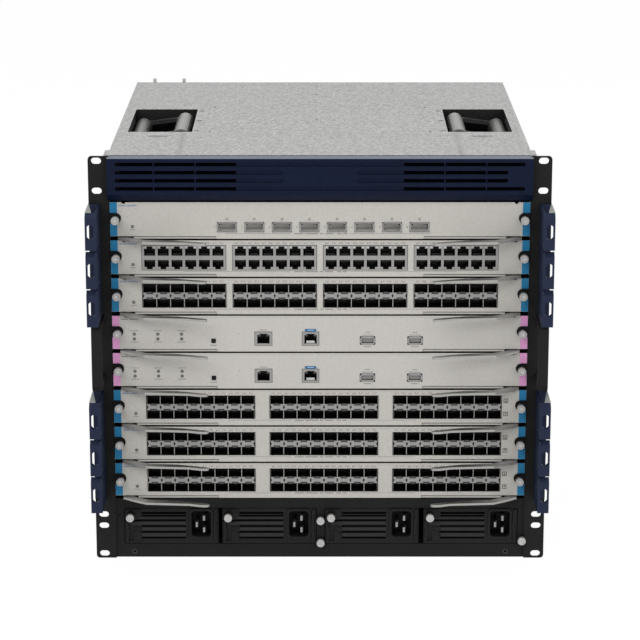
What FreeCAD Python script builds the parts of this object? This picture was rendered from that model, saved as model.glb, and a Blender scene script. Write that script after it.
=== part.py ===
import FreeCAD, Part
import math
import os

# Modular chassis switch, ten rack units high, built as separate sub-parts.
# Millimetres.  +X to the right seen from the front, +Y to the rear, +Z up.
# Origin: on the underside, on the centre line, at the rear face of the rack ears.

# ---- envelope of the chassis body
BODY_W = 442.0
BODY_H = 441.7
BODY_D = 455.0
SHEET = 1.5

# ---- rack ears (standard 19 inch spacing)
EAR_REACH = 20.3
RACK_W = BODY_W + 2 * EAR_REACH
EAR_T = 3.0
EAR_CLEAR = 0.5
EAR_CORNER_R = 3.6
EAR_SLOT_W = 10.5
EAR_SLOT_H = 7.0
EAR_SLOT_EDGE = 8.75
RACK_HOLE_SPAN = RACK_W - 2 * EAR_SLOT_EDGE
EAR_SLOT_Z_LOW = 4.95
EAR_SLOT_SPAN_OUTER = BODY_H - 2 * EAR_SLOT_Z_LOW
EAR_SLOT_Z_SECOND = 36.7
EAR_SLOT_SPAN_INNER = BODY_H - 2 * EAR_SLOT_Z_SECOND
EAR_SLOT_Z_EXTRA = 49.4
EAR_FLANGE_T = 3.0
EAR_FLANGE_D = 30.0

# ---- half widths that the pieces below are placed from
HALF = BODY_W / 2.0
INNER = HALF - SHEET
EAR_HALF = RACK_W / 2.0
EAR_LAP = 1.2
EAR_INNER_X = HALF - EAR_LAP
FACE_HALF = EAR_INNER_X - EAR_CLEAR
TOP_Z0 = BODY_H - SHEET

# ---- front fascia
FASCIA_T = 2.5
FASCIA_FRONT = -13.0
FASCIA_REAR = 4.0
FASCIA_H = 45.5
FASCIA_Z1 = BODY_H - 0.7
FASCIA_Z0 = FASCIA_Z1 - FASCIA_H
FASCIA_CHAMFER = 7.3
GRILLE_H = 3.9
GRILLE_PITCH = 8.58
GRILLE_Z_TOP = FASCIA_Z1 - 6.0
GRILLE_HALF = HALF - 8.2
GRILLE_SHORT_END = 17.8
NAME_HALF = 38.0
RIB_PITCH = 43.15
RIB_T = 1.6
BLANK_HALF = 87.0
FILTER_HALF = HALF - 13.0
VENT_HALF = HALF - 16.0

# ---- card bay
CARD_COUNT = 8
CARD_GAP = 1.4
BAY_HEAD_GAP = 1.7
BAY_Z0 = 67.4
BAY_Z1 = FASCIA_Z0 - BAY_HEAD_GAP
CARD_PITCH = (BAY_Z1 - BAY_Z0) / CARD_COUNT
FACE_T = 1.5
FACE_Y0 = -EAR_T
FACE_Y1 = FACE_Y0 + FACE_T
TRAY_SIDE_GAP = 11.0
TRAY_HALF_W = INNER - TRAY_SIDE_GAP
TRAY_T = 1.2
TRAY_LIFT = 5.0
TRAY_WALL_H = 26.0
CARD_D = 292.0
GUIDE_DROP = 0.2
GUIDE_T = 2.2
GUIDE_LAP = 5.5
SCREW_EDGE = 6.0
SCREW_X = FACE_HALF - SCREW_EDGE
SCREW_Z = 23.0
KNOB_R = 4.3
KNOB_LEN = 13.0
KNOB_HEAD_LEN = 5.0
KNOB_SLEEVE_R = 3.7
SCREW_R = 2.0
THREAD_CLEAR = 0.05
COLLAR_R = 5.4
COLLAR_T = 1.6
FLANGE_Y = 8.5
FLANGE_T = 2.0
FLANGE_W = 10.0
CARD_PLUG_HALF = 60.0

# ---- ejector levers
LEVER_T = 2.4
PIVOT_INSET = 7.3
PIVOT_X = SCREW_X - PIVOT_INSET
PIVOT_Y = 2.0
PIVOT_R = 3.0
PIVOT_CLEAR = 0.05
LEVER_BOSS_R = 5.5
LEVER_REACH = 97.5
LEVER_NOTCH_H = 3.0
LEVER_NOTCH_X0 = PIVOT_X - LEVER_REACH
LEVER_STOP_X1 = PIVOT_X - 11.0
LEVER_STOP_T = 1.0
EDGE_NOTCH_R = 2.2
EDGE_NOTCH_X = PIVOT_X - 1.0

# ---- port blocks
BLOCK_PROUD = 0.6
BLOCK_D = 32.0
PORT_D = 17.0
JACK_W = 11.6
JACK_H = 7.6
JACK_KEY_W = 6.0
JACK_KEY_H = 2.4
JACK_BAND = 4.6
JACK_RIM = 1.9
JACK_BLOCK_H = 2 * (JACK_H + JACK_KEY_H) + JACK_BAND + 1.6
CAGE_BLOCK_H = 24.9
PORT_SEAT = 0.32
CAGE_DIVIDER = 0.8
CAGE_H = 8.75
CAGE_BAND = 6.75
SIX_EDGE = 32.7
SIX_GAP = 7.35
EIGHT_EDGE_LEFT = 34.8
EIGHT_EDGE_RIGHT = 26.3
EIGHT_GAP = 16.1
QUAD_W = 18.4
QUAD_H = 8.7
QUAD_PITCH = 28.75
QUAD_X0 = -97.3
QUAD_COUNT = 8

# ---- power supplies
PSU_LEFT_STRIP = 10.6
PSU_RIGHT_STRIP = 8.4
PSU_POST_GAP = 9.6
PSU_GAP_LEFT = 4.2
PSU_GAP_RIGHT = 5.2
PSU_SPARE = PSU_LEFT_STRIP + PSU_RIGHT_STRIP + PSU_POST_GAP + PSU_GAP_LEFT + PSU_GAP_RIGHT
PSU_W = (BODY_W - PSU_SPARE) / 4
PSU_X0 = -HALF + PSU_LEFT_STRIP
PSU_X1 = PSU_X0 + PSU_W + PSU_GAP_LEFT
PSU_X2 = PSU_X1 + PSU_W + PSU_POST_GAP
PSU_X3 = PSU_X2 + PSU_W + PSU_GAP_RIGHT
PSU_LEFT_EDGES = (PSU_X0, PSU_X1, PSU_X2, PSU_X3)
PSU_Z0 = 15.6
PSU_H = 39.6
PSU_Z1 = PSU_Z0 + PSU_H
PSU_D = 290.0
PSU_FIT = 0.6
PSU_SHELF_T = 1.4
PSU_SLOT_LEFT = 18.2
PSU_SLOT_RIGHT = 35.1
PSU_SLOT_H = 2.0
PSU_SLOT_PITCH = 6.6
INLET_RIGHT = 29.2
INLET_W = 21.0
INLET_H = 29.0
INLET_D = 20.0
PIN_W = 2.2
PIN_H = 6.2

# ---- lifting handles in the top
WELL_X1 = HALF - 11.7
WELL_X0 = WELL_X1 - 70.0
WELL_Y0 = 133.0
WELL_Y1 = 272.0
WELL_FLOOR_Z = BODY_H - 30.7
WELL_T = 1.2
LIFT_PIVOT_X = WELL_X1 - 9.5
LIFT_PIVOT_Z = BODY_H - 16.7
LIFT_TUBE_R = 9.0
LIFT_ROD_R = 4.0
LIFT_ROD_CLEAR = 0.05
GRIP_X = WELL_X0 + 13.4
GRIP_Z = LIFT_PIVOT_Z + 6.0
GRIP_R = 9.5
GRIP_BORE_R = 7.4
LIFT_Y0 = WELL_Y0 + 23.0
LIFT_Y1 = WELL_Y1 - 15.0
LINK_T = 3.0
LINK_INSET = 8.0
LENS_R = 20.0

# ---- cable guides and carry handles on the ears
GUIDE_RING_GAP = 2.4
GUIDE_RING_H = CARD_PITCH - GUIDE_RING_GAP
GUIDE_COUNT = 3
GUIDE_DEPTH = 50.0
GUIDE_X1 = EAR_HALF
GUIDE_X0 = GUIDE_X1 - 11.9
GUIDE_WALL = 2.2
GUIDE_BAR = 5.5
GUIDE_CHAMFER = 4.6
GUIDE_SLOT_W = 6.9
GUIDE_SLOT_H = 15.6
GUIDE_UPPER_TOP = BAY_Z1 - 2.5
GUIDE_LOWER_TOP = BAY_Z1 - 5 * CARD_PITCH - 1.6
GUSSET_T = 1.0
GRAB_X1 = EAR_HALF - 3.0
GRAB_X0 = GRAB_X1 - 10.7
GRAB_Z0 = GUIDE_LOWER_TOP + 9.8
GRAB_Z1 = GUIDE_UPPER_TOP - 2 * CARD_PITCH - GUIDE_RING_H - 0.5
GRAB_DEPTH = 40.0
GRAB_BAR = 9.5
GRAB_R = 8.0

# ---- midplane, rear sheet and fan trays
MID_GAP = 6.0
MID_Y = CARD_D + MID_GAP
MID_T = 3.0
MID_WINDOW_X0 = 75.0
MID_WINDOW_X1 = HALF - 26.0
REAR_VENT_HALF = HALF - 39.0
REAR_VENT_COUNT = 8
HOOK_X = (-HALF + 21.3, -HALF + 56.6)
HOOK_RISE = 4.4
FAN_MID_GAP = 5.5
FAN_X = HALF / 2.0 - 7.5
FAN_Z = (PSU_Z1 + BODY_H) / 2.0
FAN_FRAME = 2 * (FAN_X - FAN_MID_GAP)
FAN_FIT = 0.5
FAN_D = 96.0
FAN_BORE_R = FAN_FRAME / 2.0 - 11.5
FAN_FLANGE = FAN_FRAME + 9.0
FAN_MOTOR_D = 14.0
FAN_HUB_R = 26.0
FAN_HUB_L = 40.0
FAN_BLADE_R = FAN_BORE_R - 4.0
FAN_BLADE_COUNT = 7
AXLE_R = 5.0
AXLE_CLEAR = 0.06
AXLE_END_GAP = 0.5

# ---- how many sides the small repeated rounds are given
KNOB_SIDE_COUNT = 12
PIN_SIDE_COUNT = 8
BORE_SIDE_COUNT = 6
TUBE_SIDE_COUNT = 20


def vec(x, y, z):
    return FreeCAD.Vector(x, y, z)


def box(x0, x1, y0, y1, z0, z1):
    """Block between two corners, whichever way round the ends are given."""
    lo = vec(min(x0, x1), min(y0, y1), min(z0, z1))
    return Part.makeBox(abs(x1 - x0), abs(y1 - y0), abs(z1 - z0), lo)


def rod(r, x, z, y0, y1):
    """Round bar along Y."""
    return Part.makeCylinder(r, y1 - y0, vec(x, y0, z), vec(0, 1, 0))


def post(r, x, y, z0, z1):
    """Round bar along Z."""
    return Part.makeCylinder(r, z1 - z0, vec(x, y, z0), vec(0, 0, 1))


def ring_points(r, sides, a, b):
    """Corners of a regular polygon whose corners lie on radius r."""
    step = 2.0 * math.pi / sides
    return [(a + r * math.cos(step * (i + 0.5)), b + r * math.sin(step * (i + 0.5))) for i in range(sides)]


def around(r, sides):
    """Corner radius of the polygon that just clears a round bar of radius r."""
    return r / math.cos(math.pi / sides)


def bar_y(r, x, z, y0, y1, sides):
    """Many-sided bar along Y, for small rounds that repeat."""
    return prism_y(ring_points(r, sides, x, z), y0, y1)


def bar_z(r, x, y, z0, z1, sides):
    """Many-sided bar along Z, for small rounds that repeat."""
    return prism_z(ring_points(r, sides, x, y), z0, z1)


def prism(points, direction):
    """Closed polygon of 3-D points pushed along a direction."""
    wire = Part.makePolygon([vec(*p) for p in points] + [vec(*points[0])])
    return Part.Face(wire).extrude(vec(*direction))


def prism_z(points, z0, z1):
    return prism([(x, y, z0) for x, y in points], (0, 0, z1 - z0))


def prism_x(points, x0, x1):
    return prism([(x0, y, z) for y, z in points], (x1 - x0, 0, 0))


def prism_y(points, y0, y1):
    return prism([(x, y0, z) for x, z in points], (0, y1 - y0, 0))


def slot_y(cx, cz, length, height, y0, y1):
    """Slot with round ends lying along X, cut through in Y."""
    r = height / 2.0
    half = length / 2.0 - r
    bar = box(cx - half, cx + half, y0, y1, cz - r, cz + r)
    return bar.fuse([rod(r, cx - half, cz, y0, y1), rod(r, cx + half, cz, y0, y1)])


def louvre(cx, cz, length, height, y0, y1):
    """Long slot along X whose ends are bevelled at all four corners."""
    c = height * 0.3
    return chamfered(cx - length / 2.0, cx + length / 2.0, y0, y1, cz - height / 2.0, cz + height / 2.0, c)


def slot_upright(cx, cz, width, height, y0, y1):
    """Slot standing along Z whose ends are bevelled at all four corners."""
    c = width * 0.3
    return chamfered(cx - width / 2.0, cx + width / 2.0, y0, y1, cz - height / 2.0, cz + height / 2.0, c)


def chamfered(x0, x1, y0, y1, z0, z1, c):
    """Block whose four edges along Y are bevelled by c."""
    pts = [(x0 + c, z0), (x1 - c, z0), (x1, z0 + c), (x1, z1 - c)]
    pts += [(x1 - c, z1), (x0 + c, z1), (x0, z1 - c), (x0, z0 + c)]
    return prism_y(pts, y0, y1)


def mirror_x(shape):
    """The same piece on the other side of the centre line."""
    return shape.mirror(vec(0, 0, 0), vec(1, 0, 0))


def joined(first, others):
    """One clean solid from pieces that touch or overlap."""
    return first.fuse(others).removeSplitter()


def handed(shape, side):
    """Pieces are drawn on the left; side +1 turns them into the right one."""
    return mirror_x(shape) if side > 0 else shape


def card_z(index):
    """Bottom height of a card slot, counted from 0 at the top slot."""
    return BAY_Z1 - CARD_PITCH * (index + 1)


# ---------------------------------------------------------------- chassis

def make_base_plate():
    """Bottom sheet with three runners that carry the power supply shelf."""
    plate = box(-HALF, HALF, 0, BODY_D, 0, SHEET)
    top = PSU_Z0 - GUIDE_DROP
    shelf = box(-INNER + 1, INNER - 1, 13, PSU_D + 4, top - PSU_SHELF_T, top)
    legs = []
    for x in (-INNER + 7, 0, INNER - 7):
        legs.append(box(x - 1, x + 1, 13, PSU_D + 4, SHEET, top - PSU_SHELF_T))
    return joined(plate, legs + [shelf])


def make_side_panel(side):
    """Flat side sheet between the base plate and the top cover."""
    panel = box(-HALF, -INNER, 0, BODY_D, SHEET, TOP_Z0)
    return handed(panel, side)


def make_well(side):
    """Sheet trough under a window, with the rod the lifting handle turns on."""
    x0 = -WELL_X1 - WELL_T
    x1 = -WELL_X0 + WELL_T
    y0 = WELL_Y0 - WELL_T
    y1 = WELL_Y1 + WELL_T
    outer = box(x0, x1, y0, y1, WELL_FLOOR_Z - WELL_T, TOP_Z0)
    inner = box(-WELL_X1, -WELL_X0, WELL_Y0, WELL_Y1, WELL_FLOOR_Z, BODY_H)
    axle = rod(LIFT_ROD_R, -LIFT_PIVOT_X, LIFT_PIVOT_Z, y0 + 0.4, y1 - 0.4)
    stud = bar_z(3.2, -WELL_X1 + 31.3, WELL_Y0 + 37.0, WELL_FLOOR_Z - 0.4, WELL_FLOOR_Z + 3.0, PIN_SIDE_COUNT)
    return handed(outer.cut(inner).fuse([axle, stud]), side)


def make_window_cutters(side):
    """Window, short slots and the shallow lens ahead of it."""
    cutters = [box(-WELL_X1, -WELL_X0, WELL_Y0, WELL_Y1, TOP_Z0 - 5, BODY_H + 5)]
    for y in (WELL_Y0 + 7, WELL_Y0 + 67, WELL_Y0 + 127):
        x = -WELL_X0 + 4.7
        cutters.append(box(x - 2.6, x + 2.6, y - 1.3, y + 1.3, TOP_Z0 - 5, BODY_H + 5))
    x = -WELL_X1 + 34.3
    y = WELL_Y0 - 24.5
    arc_a = bar_z(LENS_R, x, y - 15.8, BODY_H - 0.7, BODY_H + 2, 28)
    arc_b = bar_z(LENS_R, x, y + 15.8, BODY_H - 0.7, BODY_H + 2, 28)
    cutters.append(arc_a.common(arc_b))
    return [handed(c, side) for c in cutters]


def make_top_cover():
    """Top sheet, its two front tabs and the two handle wells."""
    sheet = box(-HALF, HALF, FASCIA_REAR, BODY_D, TOP_Z0, BODY_H)
    cutters = make_window_cutters(-1) + make_window_cutters(1)
    for i in range(5):
        y = 208.0 + i * 54.0
        cutters.append(bar_z(1.6, -4.0, y, TOP_Z0 - 1, BODY_H + 1, PIN_SIDE_COUNT))
    sheet = sheet.cut(cutters)
    tab_x = HALF + EAR_FLANGE_T + 1.5
    tabs = [box(-tab_x, -HALF, FASCIA_REAR + 1, EAR_FLANGE_D, TOP_Z0, BODY_H)]
    tabs.append(mirror_x(tabs[0]))
    return joined(sheet, tabs + [make_well(-1), make_well(1)])


def make_front_frame():
    """Black front structure: bay rails, posts and the flanges the cards screw to."""
    depth = 12.0
    rail_top = BAY_Z0 - 0.8
    opening_z1 = PSU_Z1 + PSU_FIT
    left = PSU_X0 - PSU_FIT
    right = PSU_X3 + PSU_W + PSU_FIT
    mid0 = PSU_X1 + PSU_W + PSU_FIT
    mid1 = PSU_X2 - PSU_FIT
    low = PSU_Z0 - PSU_FIT
    frame = box(-INNER, INNER, 0, depth, SHEET, low)
    pieces = [box(-INNER, INNER, 0, depth, opening_z1, rail_top)]
    pieces.append(box(-INNER, left, 0, depth, low, opening_z1))
    pieces.append(box(right, INNER, 0, depth, low, opening_z1))
    pieces.append(box(mid0, mid1, 0, depth, low, opening_z1))
    head_z = BAY_Z1 + 0.4
    flange_x = INNER - FLANGE_W
    flange = box(-INNER, -flange_x, FLANGE_Y, FLANGE_Y + FLANGE_T, rail_top, head_z)
    holes = []
    for i in range(CARD_COUNT):
        z = card_z(i) + SCREW_Z
        r = around(SCREW_R + THREAD_CLEAR, BORE_SIDE_COUNT)
        holes.append(bar_y(r, -SCREW_X, z, FLANGE_Y - 1, FLANGE_Y + FLANGE_T + 1, BORE_SIDE_COUNT))
    flange = flange.cut(holes)
    pieces += [flange, mirror_x(flange)]
    head = box(-INNER, INNER, 0, SHEET, head_z, FASCIA_Z1 - FASCIA_T)
    vent = box(-VENT_HALF, VENT_HALF, -1, SHEET + 1, FASCIA_Z0 + 4, FASCIA_Z1 - 6)
    lip = box(-INNER, INNER, 0, FLANGE_Y + FLANGE_T, head_z, head_z + SHEET)
    pieces += [head.cut(vent), lip]
    for z in (PSU_Z0 + 2.7, PSU_Z1 - 11.7):
        pieces.append(bar_y(KNOB_R, (mid0 + mid1) / 2.0, z, -9.0, 0.5, KNOB_SIDE_COUNT))
    return joined(frame, pieces)


def make_rear_panel():
    """Rear sheet with two fan openings, exhaust slots and two cable hooks."""
    y0 = BODY_D - SHEET
    panel = box(-INNER, INNER, y0, BODY_D, SHEET, TOP_Z0)
    half = FAN_FRAME / 2.0 + FAN_FIT
    cutters = []
    for x in (-FAN_X, FAN_X):
        cutters.append(box(x - half, x + half, y0 - 1, BODY_D + 1, FAN_Z - half, FAN_Z + half))
    pitch = 2 * REAR_VENT_HALF / (REAR_VENT_COUNT - 1)
    for row in range(3):
        for col in range(REAR_VENT_COUNT):
            x = -REAR_VENT_HALF + col * pitch
            z = 30.0 + row * 16.0
            cutters.append(box(x - 18.0, x + 18.0, y0 - 1, BODY_D + 1, z - 3.0, z + 3.0))
    panel = panel.cut(cutters)
    hooks = []
    for x in HOOK_X:
        hooks.append(box(x - 2.0, x + 2.0, BODY_D, BODY_D + 2.0, BODY_H - 20, BODY_H + HOOK_RISE))
    return joined(panel, hooks)


def make_card_guides():
    """Shelves that carry the edges of each card, one pair to a slot."""
    rails = []
    x0 = -INNER
    x1 = -(TRAY_HALF_W - GUIDE_LAP)
    for i in range(CARD_COUNT):
        top = card_z(i) + TRAY_LIFT - GUIDE_DROP
        rail = box(x0, x1, FLANGE_Y + FLANGE_T + 2, CARD_D, top - GUIDE_T, top)
        rails += [rail, mirror_x(rail)]
    web = box(x0, x0 + SHEET, CARD_D - 12, CARD_D, BAY_Z0 + 1, BAY_Z1 - 1)
    web_right = mirror_x(web)
    left = joined(web, [r for r in rails if r.BoundBox.XMax < 0])
    right = joined(web_right, [r for r in rails if r.BoundBox.XMax > 0])
    return Part.makeCompound([left, right])


def make_midplane():
    """Board across the chassis with one connector per card and two air windows."""
    z0 = BAY_Z0 + 1
    z1 = BAY_Z1 - 1
    board = box(-INNER, INNER, MID_Y, MID_Y + MID_T, z0, z1)
    cutters = []
    for side in (-1, 1):
        x0 = side * MID_WINDOW_X0
        x1 = side * MID_WINDOW_X1
        cutters.append(box(x0, x1, MID_Y - 1, MID_Y + MID_T + 1, z0 + 20, z1 - 20))
    board = board.cut(cutters)
    plugs = []
    for i in range(CARD_COUNT):
        z = card_z(i) + TRAY_LIFT + 3
        plugs.append(box(-58, 58, MID_Y - 3, MID_Y, z, z + 14))
    return joined(board, plugs)


def make_rack_ear(side):
    """Angle bracket: slotted plate in front, flange along the side panel."""
    x0 = -EAR_HALF
    x1 = -EAR_INNER_X
    r = EAR_CORNER_R
    plate = box(x0, x1, -EAR_T, 0, 0, BODY_H)
    corners = []
    for z, zc in ((0, r), (BODY_H, BODY_H - r)):
        bite = box(x0, x0 + r, -EAR_T, 0, min(z, zc), max(z, zc))
        corners.append(bite.cut(bar_y(r, x0 + r, zc, -EAR_T, 0, 16)))
    second = EAR_SLOT_Z_SECOND + EAR_SLOT_SPAN_INNER
    outer = EAR_SLOT_Z_LOW + EAR_SLOT_SPAN_OUTER
    slot_x = -RACK_HOLE_SPAN / 2.0
    slots = []
    for z in (EAR_SLOT_Z_LOW, EAR_SLOT_Z_SECOND, EAR_SLOT_Z_EXTRA, second, outer):
        slots.append(slot_y(slot_x, z, EAR_SLOT_W, EAR_SLOT_H, -EAR_T - 1, 1))
    plate = plate.cut(corners + slots)
    flange = box(-HALF - EAR_FLANGE_T, -HALF, -EAR_T, EAR_FLANGE_D, 0, TOP_Z0)
    return handed(joined(plate, [flange]), side)


def make_fascia():
    """Moulded grille cover with a folded top and a slanted lower edge."""
    f = FASCIA_FRONT
    t = FASCIA_T
    k = t * (math.sqrt(2.0) - 1.0)
    z0 = FASCIA_Z0
    z1 = FASCIA_Z1
    c = FASCIA_CHAMFER
    outline = [(FASCIA_REAR, z1), (f, z1), (f, z0 + c), (f + c, z0), (0, z0)]
    outline += [(0, z0 + t), (f + c + k, z0 + t), (f + t, z0 + c + k)]
    outline += [(f + t, z1 - t), (FASCIA_REAR, z1 - t)]
    shell = prism_x(outline, -HALF, HALF)
    slots = []
    for row in range(4):
        z = GRILLE_Z_TOP - row * GRILLE_PITCH
        spans = [(-GRILLE_HALF, GRILLE_HALF)]
        if row in (1, 2):
            spans = [(-GRILLE_HALF, -NAME_HALF), (NAME_HALF, GRILLE_HALF - GRILLE_SHORT_END)]
        for x0, x1 in spans:
            slots.append(louvre((x0 + x1) / 2.0, z, x1 - x0, GRILLE_H, f - 1, f + t + 0.5))
    ends = []
    for side in (-1, 1):
        ends.append(box(side * FACE_HALF, side * (HALF + 1), -EAR_T, FASCIA_REAR + 1, z0 - 1, z1 + 1))
    shell = shell.cut(slots + ends)
    ribs = [box(-BLANK_HALF, BLANK_HALF, f + t - 1.0, f + t + 0.5, z0 + c + 2, z1 - t)]
    for i in (-4, -3, 3, 4):
        x = i * RIB_PITCH
        ribs.append(box(x - RIB_T / 2, x + RIB_T / 2, f + t - 0.9, f + t + 3, z0 + c + 2, z1 - t))
    for i in (-1, 0, 1):
        x = i * RIB_PITCH
        ribs.append(box(x - RIB_T / 2, x + RIB_T / 2, f + 0.7, f + t, z0 + c + 2, z1 - t))
    return joined(shell, ribs)


def make_air_filter():
    """Flat filter pad in a thin frame behind the grille."""
    z0 = FASCIA_Z0 + 2.2
    z1 = FASCIA_Z1 - FASCIA_T
    return box(-FILTER_HALF, FILTER_HALF, -4.2, 0, z0 + FASCIA_T, z1 - 0.3)


def make_cable_guide(side, top_z):
    """Three open rings on one back strip, with a sheet gusset on the top."""
    front = -EAR_T - GUIDE_DEPTH
    back = -EAR_T
    low = top_z - (GUIDE_COUNT - 1) * CARD_PITCH - GUIDE_RING_H
    x_out = -GUIDE_X1
    x_in = -GUIDE_X0
    strip = box(x_out, x_in, back - GUIDE_WALL, back, low, top_z)
    wall = box(x_in - GUIDE_WALL, x_in, front, back, low, top_z)
    bars = []
    gaps = []
    for i in range(GUIDE_COUNT):
        z1 = top_z - i * CARD_PITCH
        z0 = z1 - GUIDE_RING_H
        c = GUIDE_CHAMFER
        profile = [(front, z0), (front + GUIDE_BAR, z0), (front + GUIDE_BAR, z1)]
        profile += [(front + c, z1), (front, z1 - c)]
        bar = prism_x(profile, x_out, x_in)
        slot_x = -EAR_HALF + 5.2
        slot = slot_upright(slot_x, z1 - 19.5, GUIDE_SLOT_W, GUIDE_SLOT_H, front - 1, front + GUIDE_BAR + 1)
        bars.append(bar.cut(slot))
        if i < GUIDE_COUNT - 1:
            next_z = z0 - CARD_PITCH + GUIDE_RING_H
            gaps.append(box(x_in - GUIDE_WALL - 1, x_in + 1, front - 1, back - 16, next_z, z0))
    c = GUIDE_CHAMFER + 1
    wedge = [(front - 1, top_z - c), (front + c, top_z + 1), (front - 1, top_z + 1)]
    nick = prism_x(wedge, x_out - 1, x_in + 1)
    body = joined(strip, [wall.cut(gaps).cut(nick)] + bars)
    lugs = []
    for i in range(GUIDE_COUNT):
        z = top_z - i * CARD_PITCH - 12
        lug_x = x_in - GUIDE_WALL
        lugs.append(box(lug_x - 1, lug_x + 0.8, back - 22, back - 12, z - 1.2, z + 1.2))
    body = body.cut(lugs)
    edge = front + GUIDE_CHAMFER + 1.0
    gusset = prism_z([(x_out, back), (x_out, edge), (x_in - 5.5, edge)], top_z, top_z + GUSSET_T)
    return handed(Part.makeCompound([body, gusset]), side)


def make_carry_handle(side):
    """D-shaped grab handle with rounded corners, screwed to the ear."""
    front = -EAR_T - GRAB_DEPTH
    back = -EAR_T
    r = GRAB_R
    x0 = -GRAB_X1
    x1 = -GRAB_X0
    solid = box(x0, x1, front, back, GRAB_Z0, GRAB_Z1)
    bites = []
    for z, zc in ((GRAB_Z0, GRAB_Z0 + r), (GRAB_Z1, GRAB_Z1 - r)):
        corner = box(x0, x1, front, front + r, min(z, zc), max(z, zc))
        round_bar = Part.makeCylinder(r, x1 - x0, vec(x0, front + r, zc), vec(1, 0, 0))
        bites.append(corner.cut(round_bar))
    b = GRAB_BAR
    q = 4.0
    y0 = front + b
    z0 = GRAB_Z0 + b
    z1 = GRAB_Z1 - b
    window = [(back + 1, z0), (y0 + q, z0), (y0, z0 + q), (y0, z1 - q), (y0 + q, z1), (back + 1, z1)]
    bites.append(prism_x(window, x0 - 1, x1 + 1))
    return handed(solid.cut(bites), side)


def make_lift_handle(side):
    """Grip tube and pivot tube joined by two flat links; folds into its well."""
    pivot = bar_y(LIFT_TUBE_R, -LIFT_PIVOT_X, LIFT_PIVOT_Z, LIFT_Y0, LIFT_Y1, TUBE_SIDE_COUNT)
    grip = bar_y(GRIP_R, -GRIP_X, GRIP_Z, LIFT_Y0, LIFT_Y1, TUBE_SIDE_COUNT)
    half = 6.5
    profile = [(-LIFT_PIVOT_X, LIFT_PIVOT_Z - half), (-GRIP_X, GRIP_Z - half)]
    profile += [(-GRIP_X, GRIP_Z + half), (-LIFT_PIVOT_X, LIFT_PIVOT_Z + half)]
    links = []
    for y in (LIFT_Y0 + LINK_INSET, LIFT_Y1 - LINK_INSET - LINK_T):
        links.append(prism_y(profile, y, y + LINK_T))
    solid = joined(pivot, [grip] + links)
    bore = rod(LIFT_ROD_R + LIFT_ROD_CLEAR, -LIFT_PIVOT_X, LIFT_PIVOT_Z, LIFT_Y0 - 1, LIFT_Y1 + 1)
    mouths = []
    for y0, y1 in ((LIFT_Y0 - 1, LIFT_Y0 + 12), (LIFT_Y1 - 12, LIFT_Y1 + 1)):
        mouths.append(bar_y(GRIP_BORE_R, -GRIP_X, GRIP_Z, y0, y1, KNOB_SIDE_COUNT))
        mouths.append(bar_y(GRIP_BORE_R - 0.6, -LIFT_PIVOT_X, LIFT_PIVOT_Z, y0, y1, KNOB_SIDE_COUNT))
    return handed(solid.cut([bore] + mouths), side)


# ---------------------------------------------------------------- power supplies

def swept_strip(x, z0, z1, lean):
    """Outline of an upright strip whose middle is swept sideways in a soft S."""
    steps = 5
    sway = 1.4
    left = []
    for i in range(steps + 1):
        t = i / steps
        left.append((x + lean * sway * math.sin(math.pi * t) ** 2, z0 + t * (z1 - z0)))
    right = [(a + 3.0, b) for a, b in reversed(left)]
    return left + right


def make_psu(index):
    """Power supply module: louvred front, mains inlet, thumb knob, side flanges."""
    x0 = PSU_LEFT_EDGES[index]
    x1 = x0 + PSU_W
    z0 = PSU_Z0
    z1 = PSU_Z1
    body = box(x0, x1, 0, PSU_D, z0, z1)
    cuts = []
    s0 = x0 + PSU_SLOT_LEFT
    s1 = x1 - PSU_SLOT_RIGHT
    for row in range(4):
        z = z0 + 6.2 + row * PSU_SLOT_PITCH
        if row == 3:
            cuts.append(box(x0 + 6.5, s0 + 1, -1, 6, z - PSU_SLOT_H / 2, z + PSU_SLOT_H / 2))
        cuts.append(box(s0, s1, -1, 6, z - PSU_SLOT_H / 2, z + PSU_SLOT_H / 2))
    cuts.append(box(s0, s1, -1, 6, z1 - 9.2, z1 - 7.4))
    cuts.append(box(s0, s1, -1, 6, z1 - 6.4, z1 - 4.0))
    i0 = x1 - INLET_RIGHT
    iz = z0 + 8.0
    cuts.append(chamfered(i0, i0 + INLET_W, -1, INLET_D, iz, iz + INLET_H, 2.5))
    cuts.append(box(x0 + 3.4, x0 + 10.8, -1, 1.2, z0 + 3.0, z0 + 9.0))
    body = body.cut(cuts)
    pins = []
    cx = i0 + INLET_W / 2
    cz = iz + INLET_H / 2
    for dx, dz in ((-3.9, 0.0), (3.9, 6.6), (3.9, -6.6)):
        px = cx + dx
        pz = cz + dz
        pins.append(box(px - PIN_W / 2, px + PIN_W / 2, 2.0, INLET_D + 1, pz - PIN_H / 2, pz + PIN_H / 2))
    rim = chamfered(i0 - 2.4, i0 + INLET_W + 2.4, -1.6, 0, iz - 2.4, iz + INLET_H + 2.4, 3.0)
    rim = rim.cut(chamfered(i0, i0 + INLET_W, -3, 1, iz, iz + INLET_H, 2.5))
    flap = [(x0 + 0.6, z1 - 0.8), (x0 + 0.6, z1 - 12.6), (x0 + 12.4, z1 - 12.6)]
    flap += [(x0 + 17.0, z1 - 8.0), (x0 + 17.0, z1 - 0.8)]
    corner = prism_y(flap, -1.6, 0)
    knob = bar_y(KNOB_R, x0 + 6.5, z1 - 6.7, -14.0, -1.0, KNOB_SIDE_COUNT)
    flanges = []
    flanges.append(prism_y(swept_strip(x0 + 0.5, z0 + 0.8, z1 - 14.0, 1.0), -2.4, 0))
    flanges.append(prism_y(swept_strip(x1 - 4.0, z0 + 0.8, z1 - 0.8, -1.0), -2.4, 0))
    return joined(body, pins + [rim, corner, knob] + flanges)


# ---------------------------------------------------------------- fans

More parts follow.
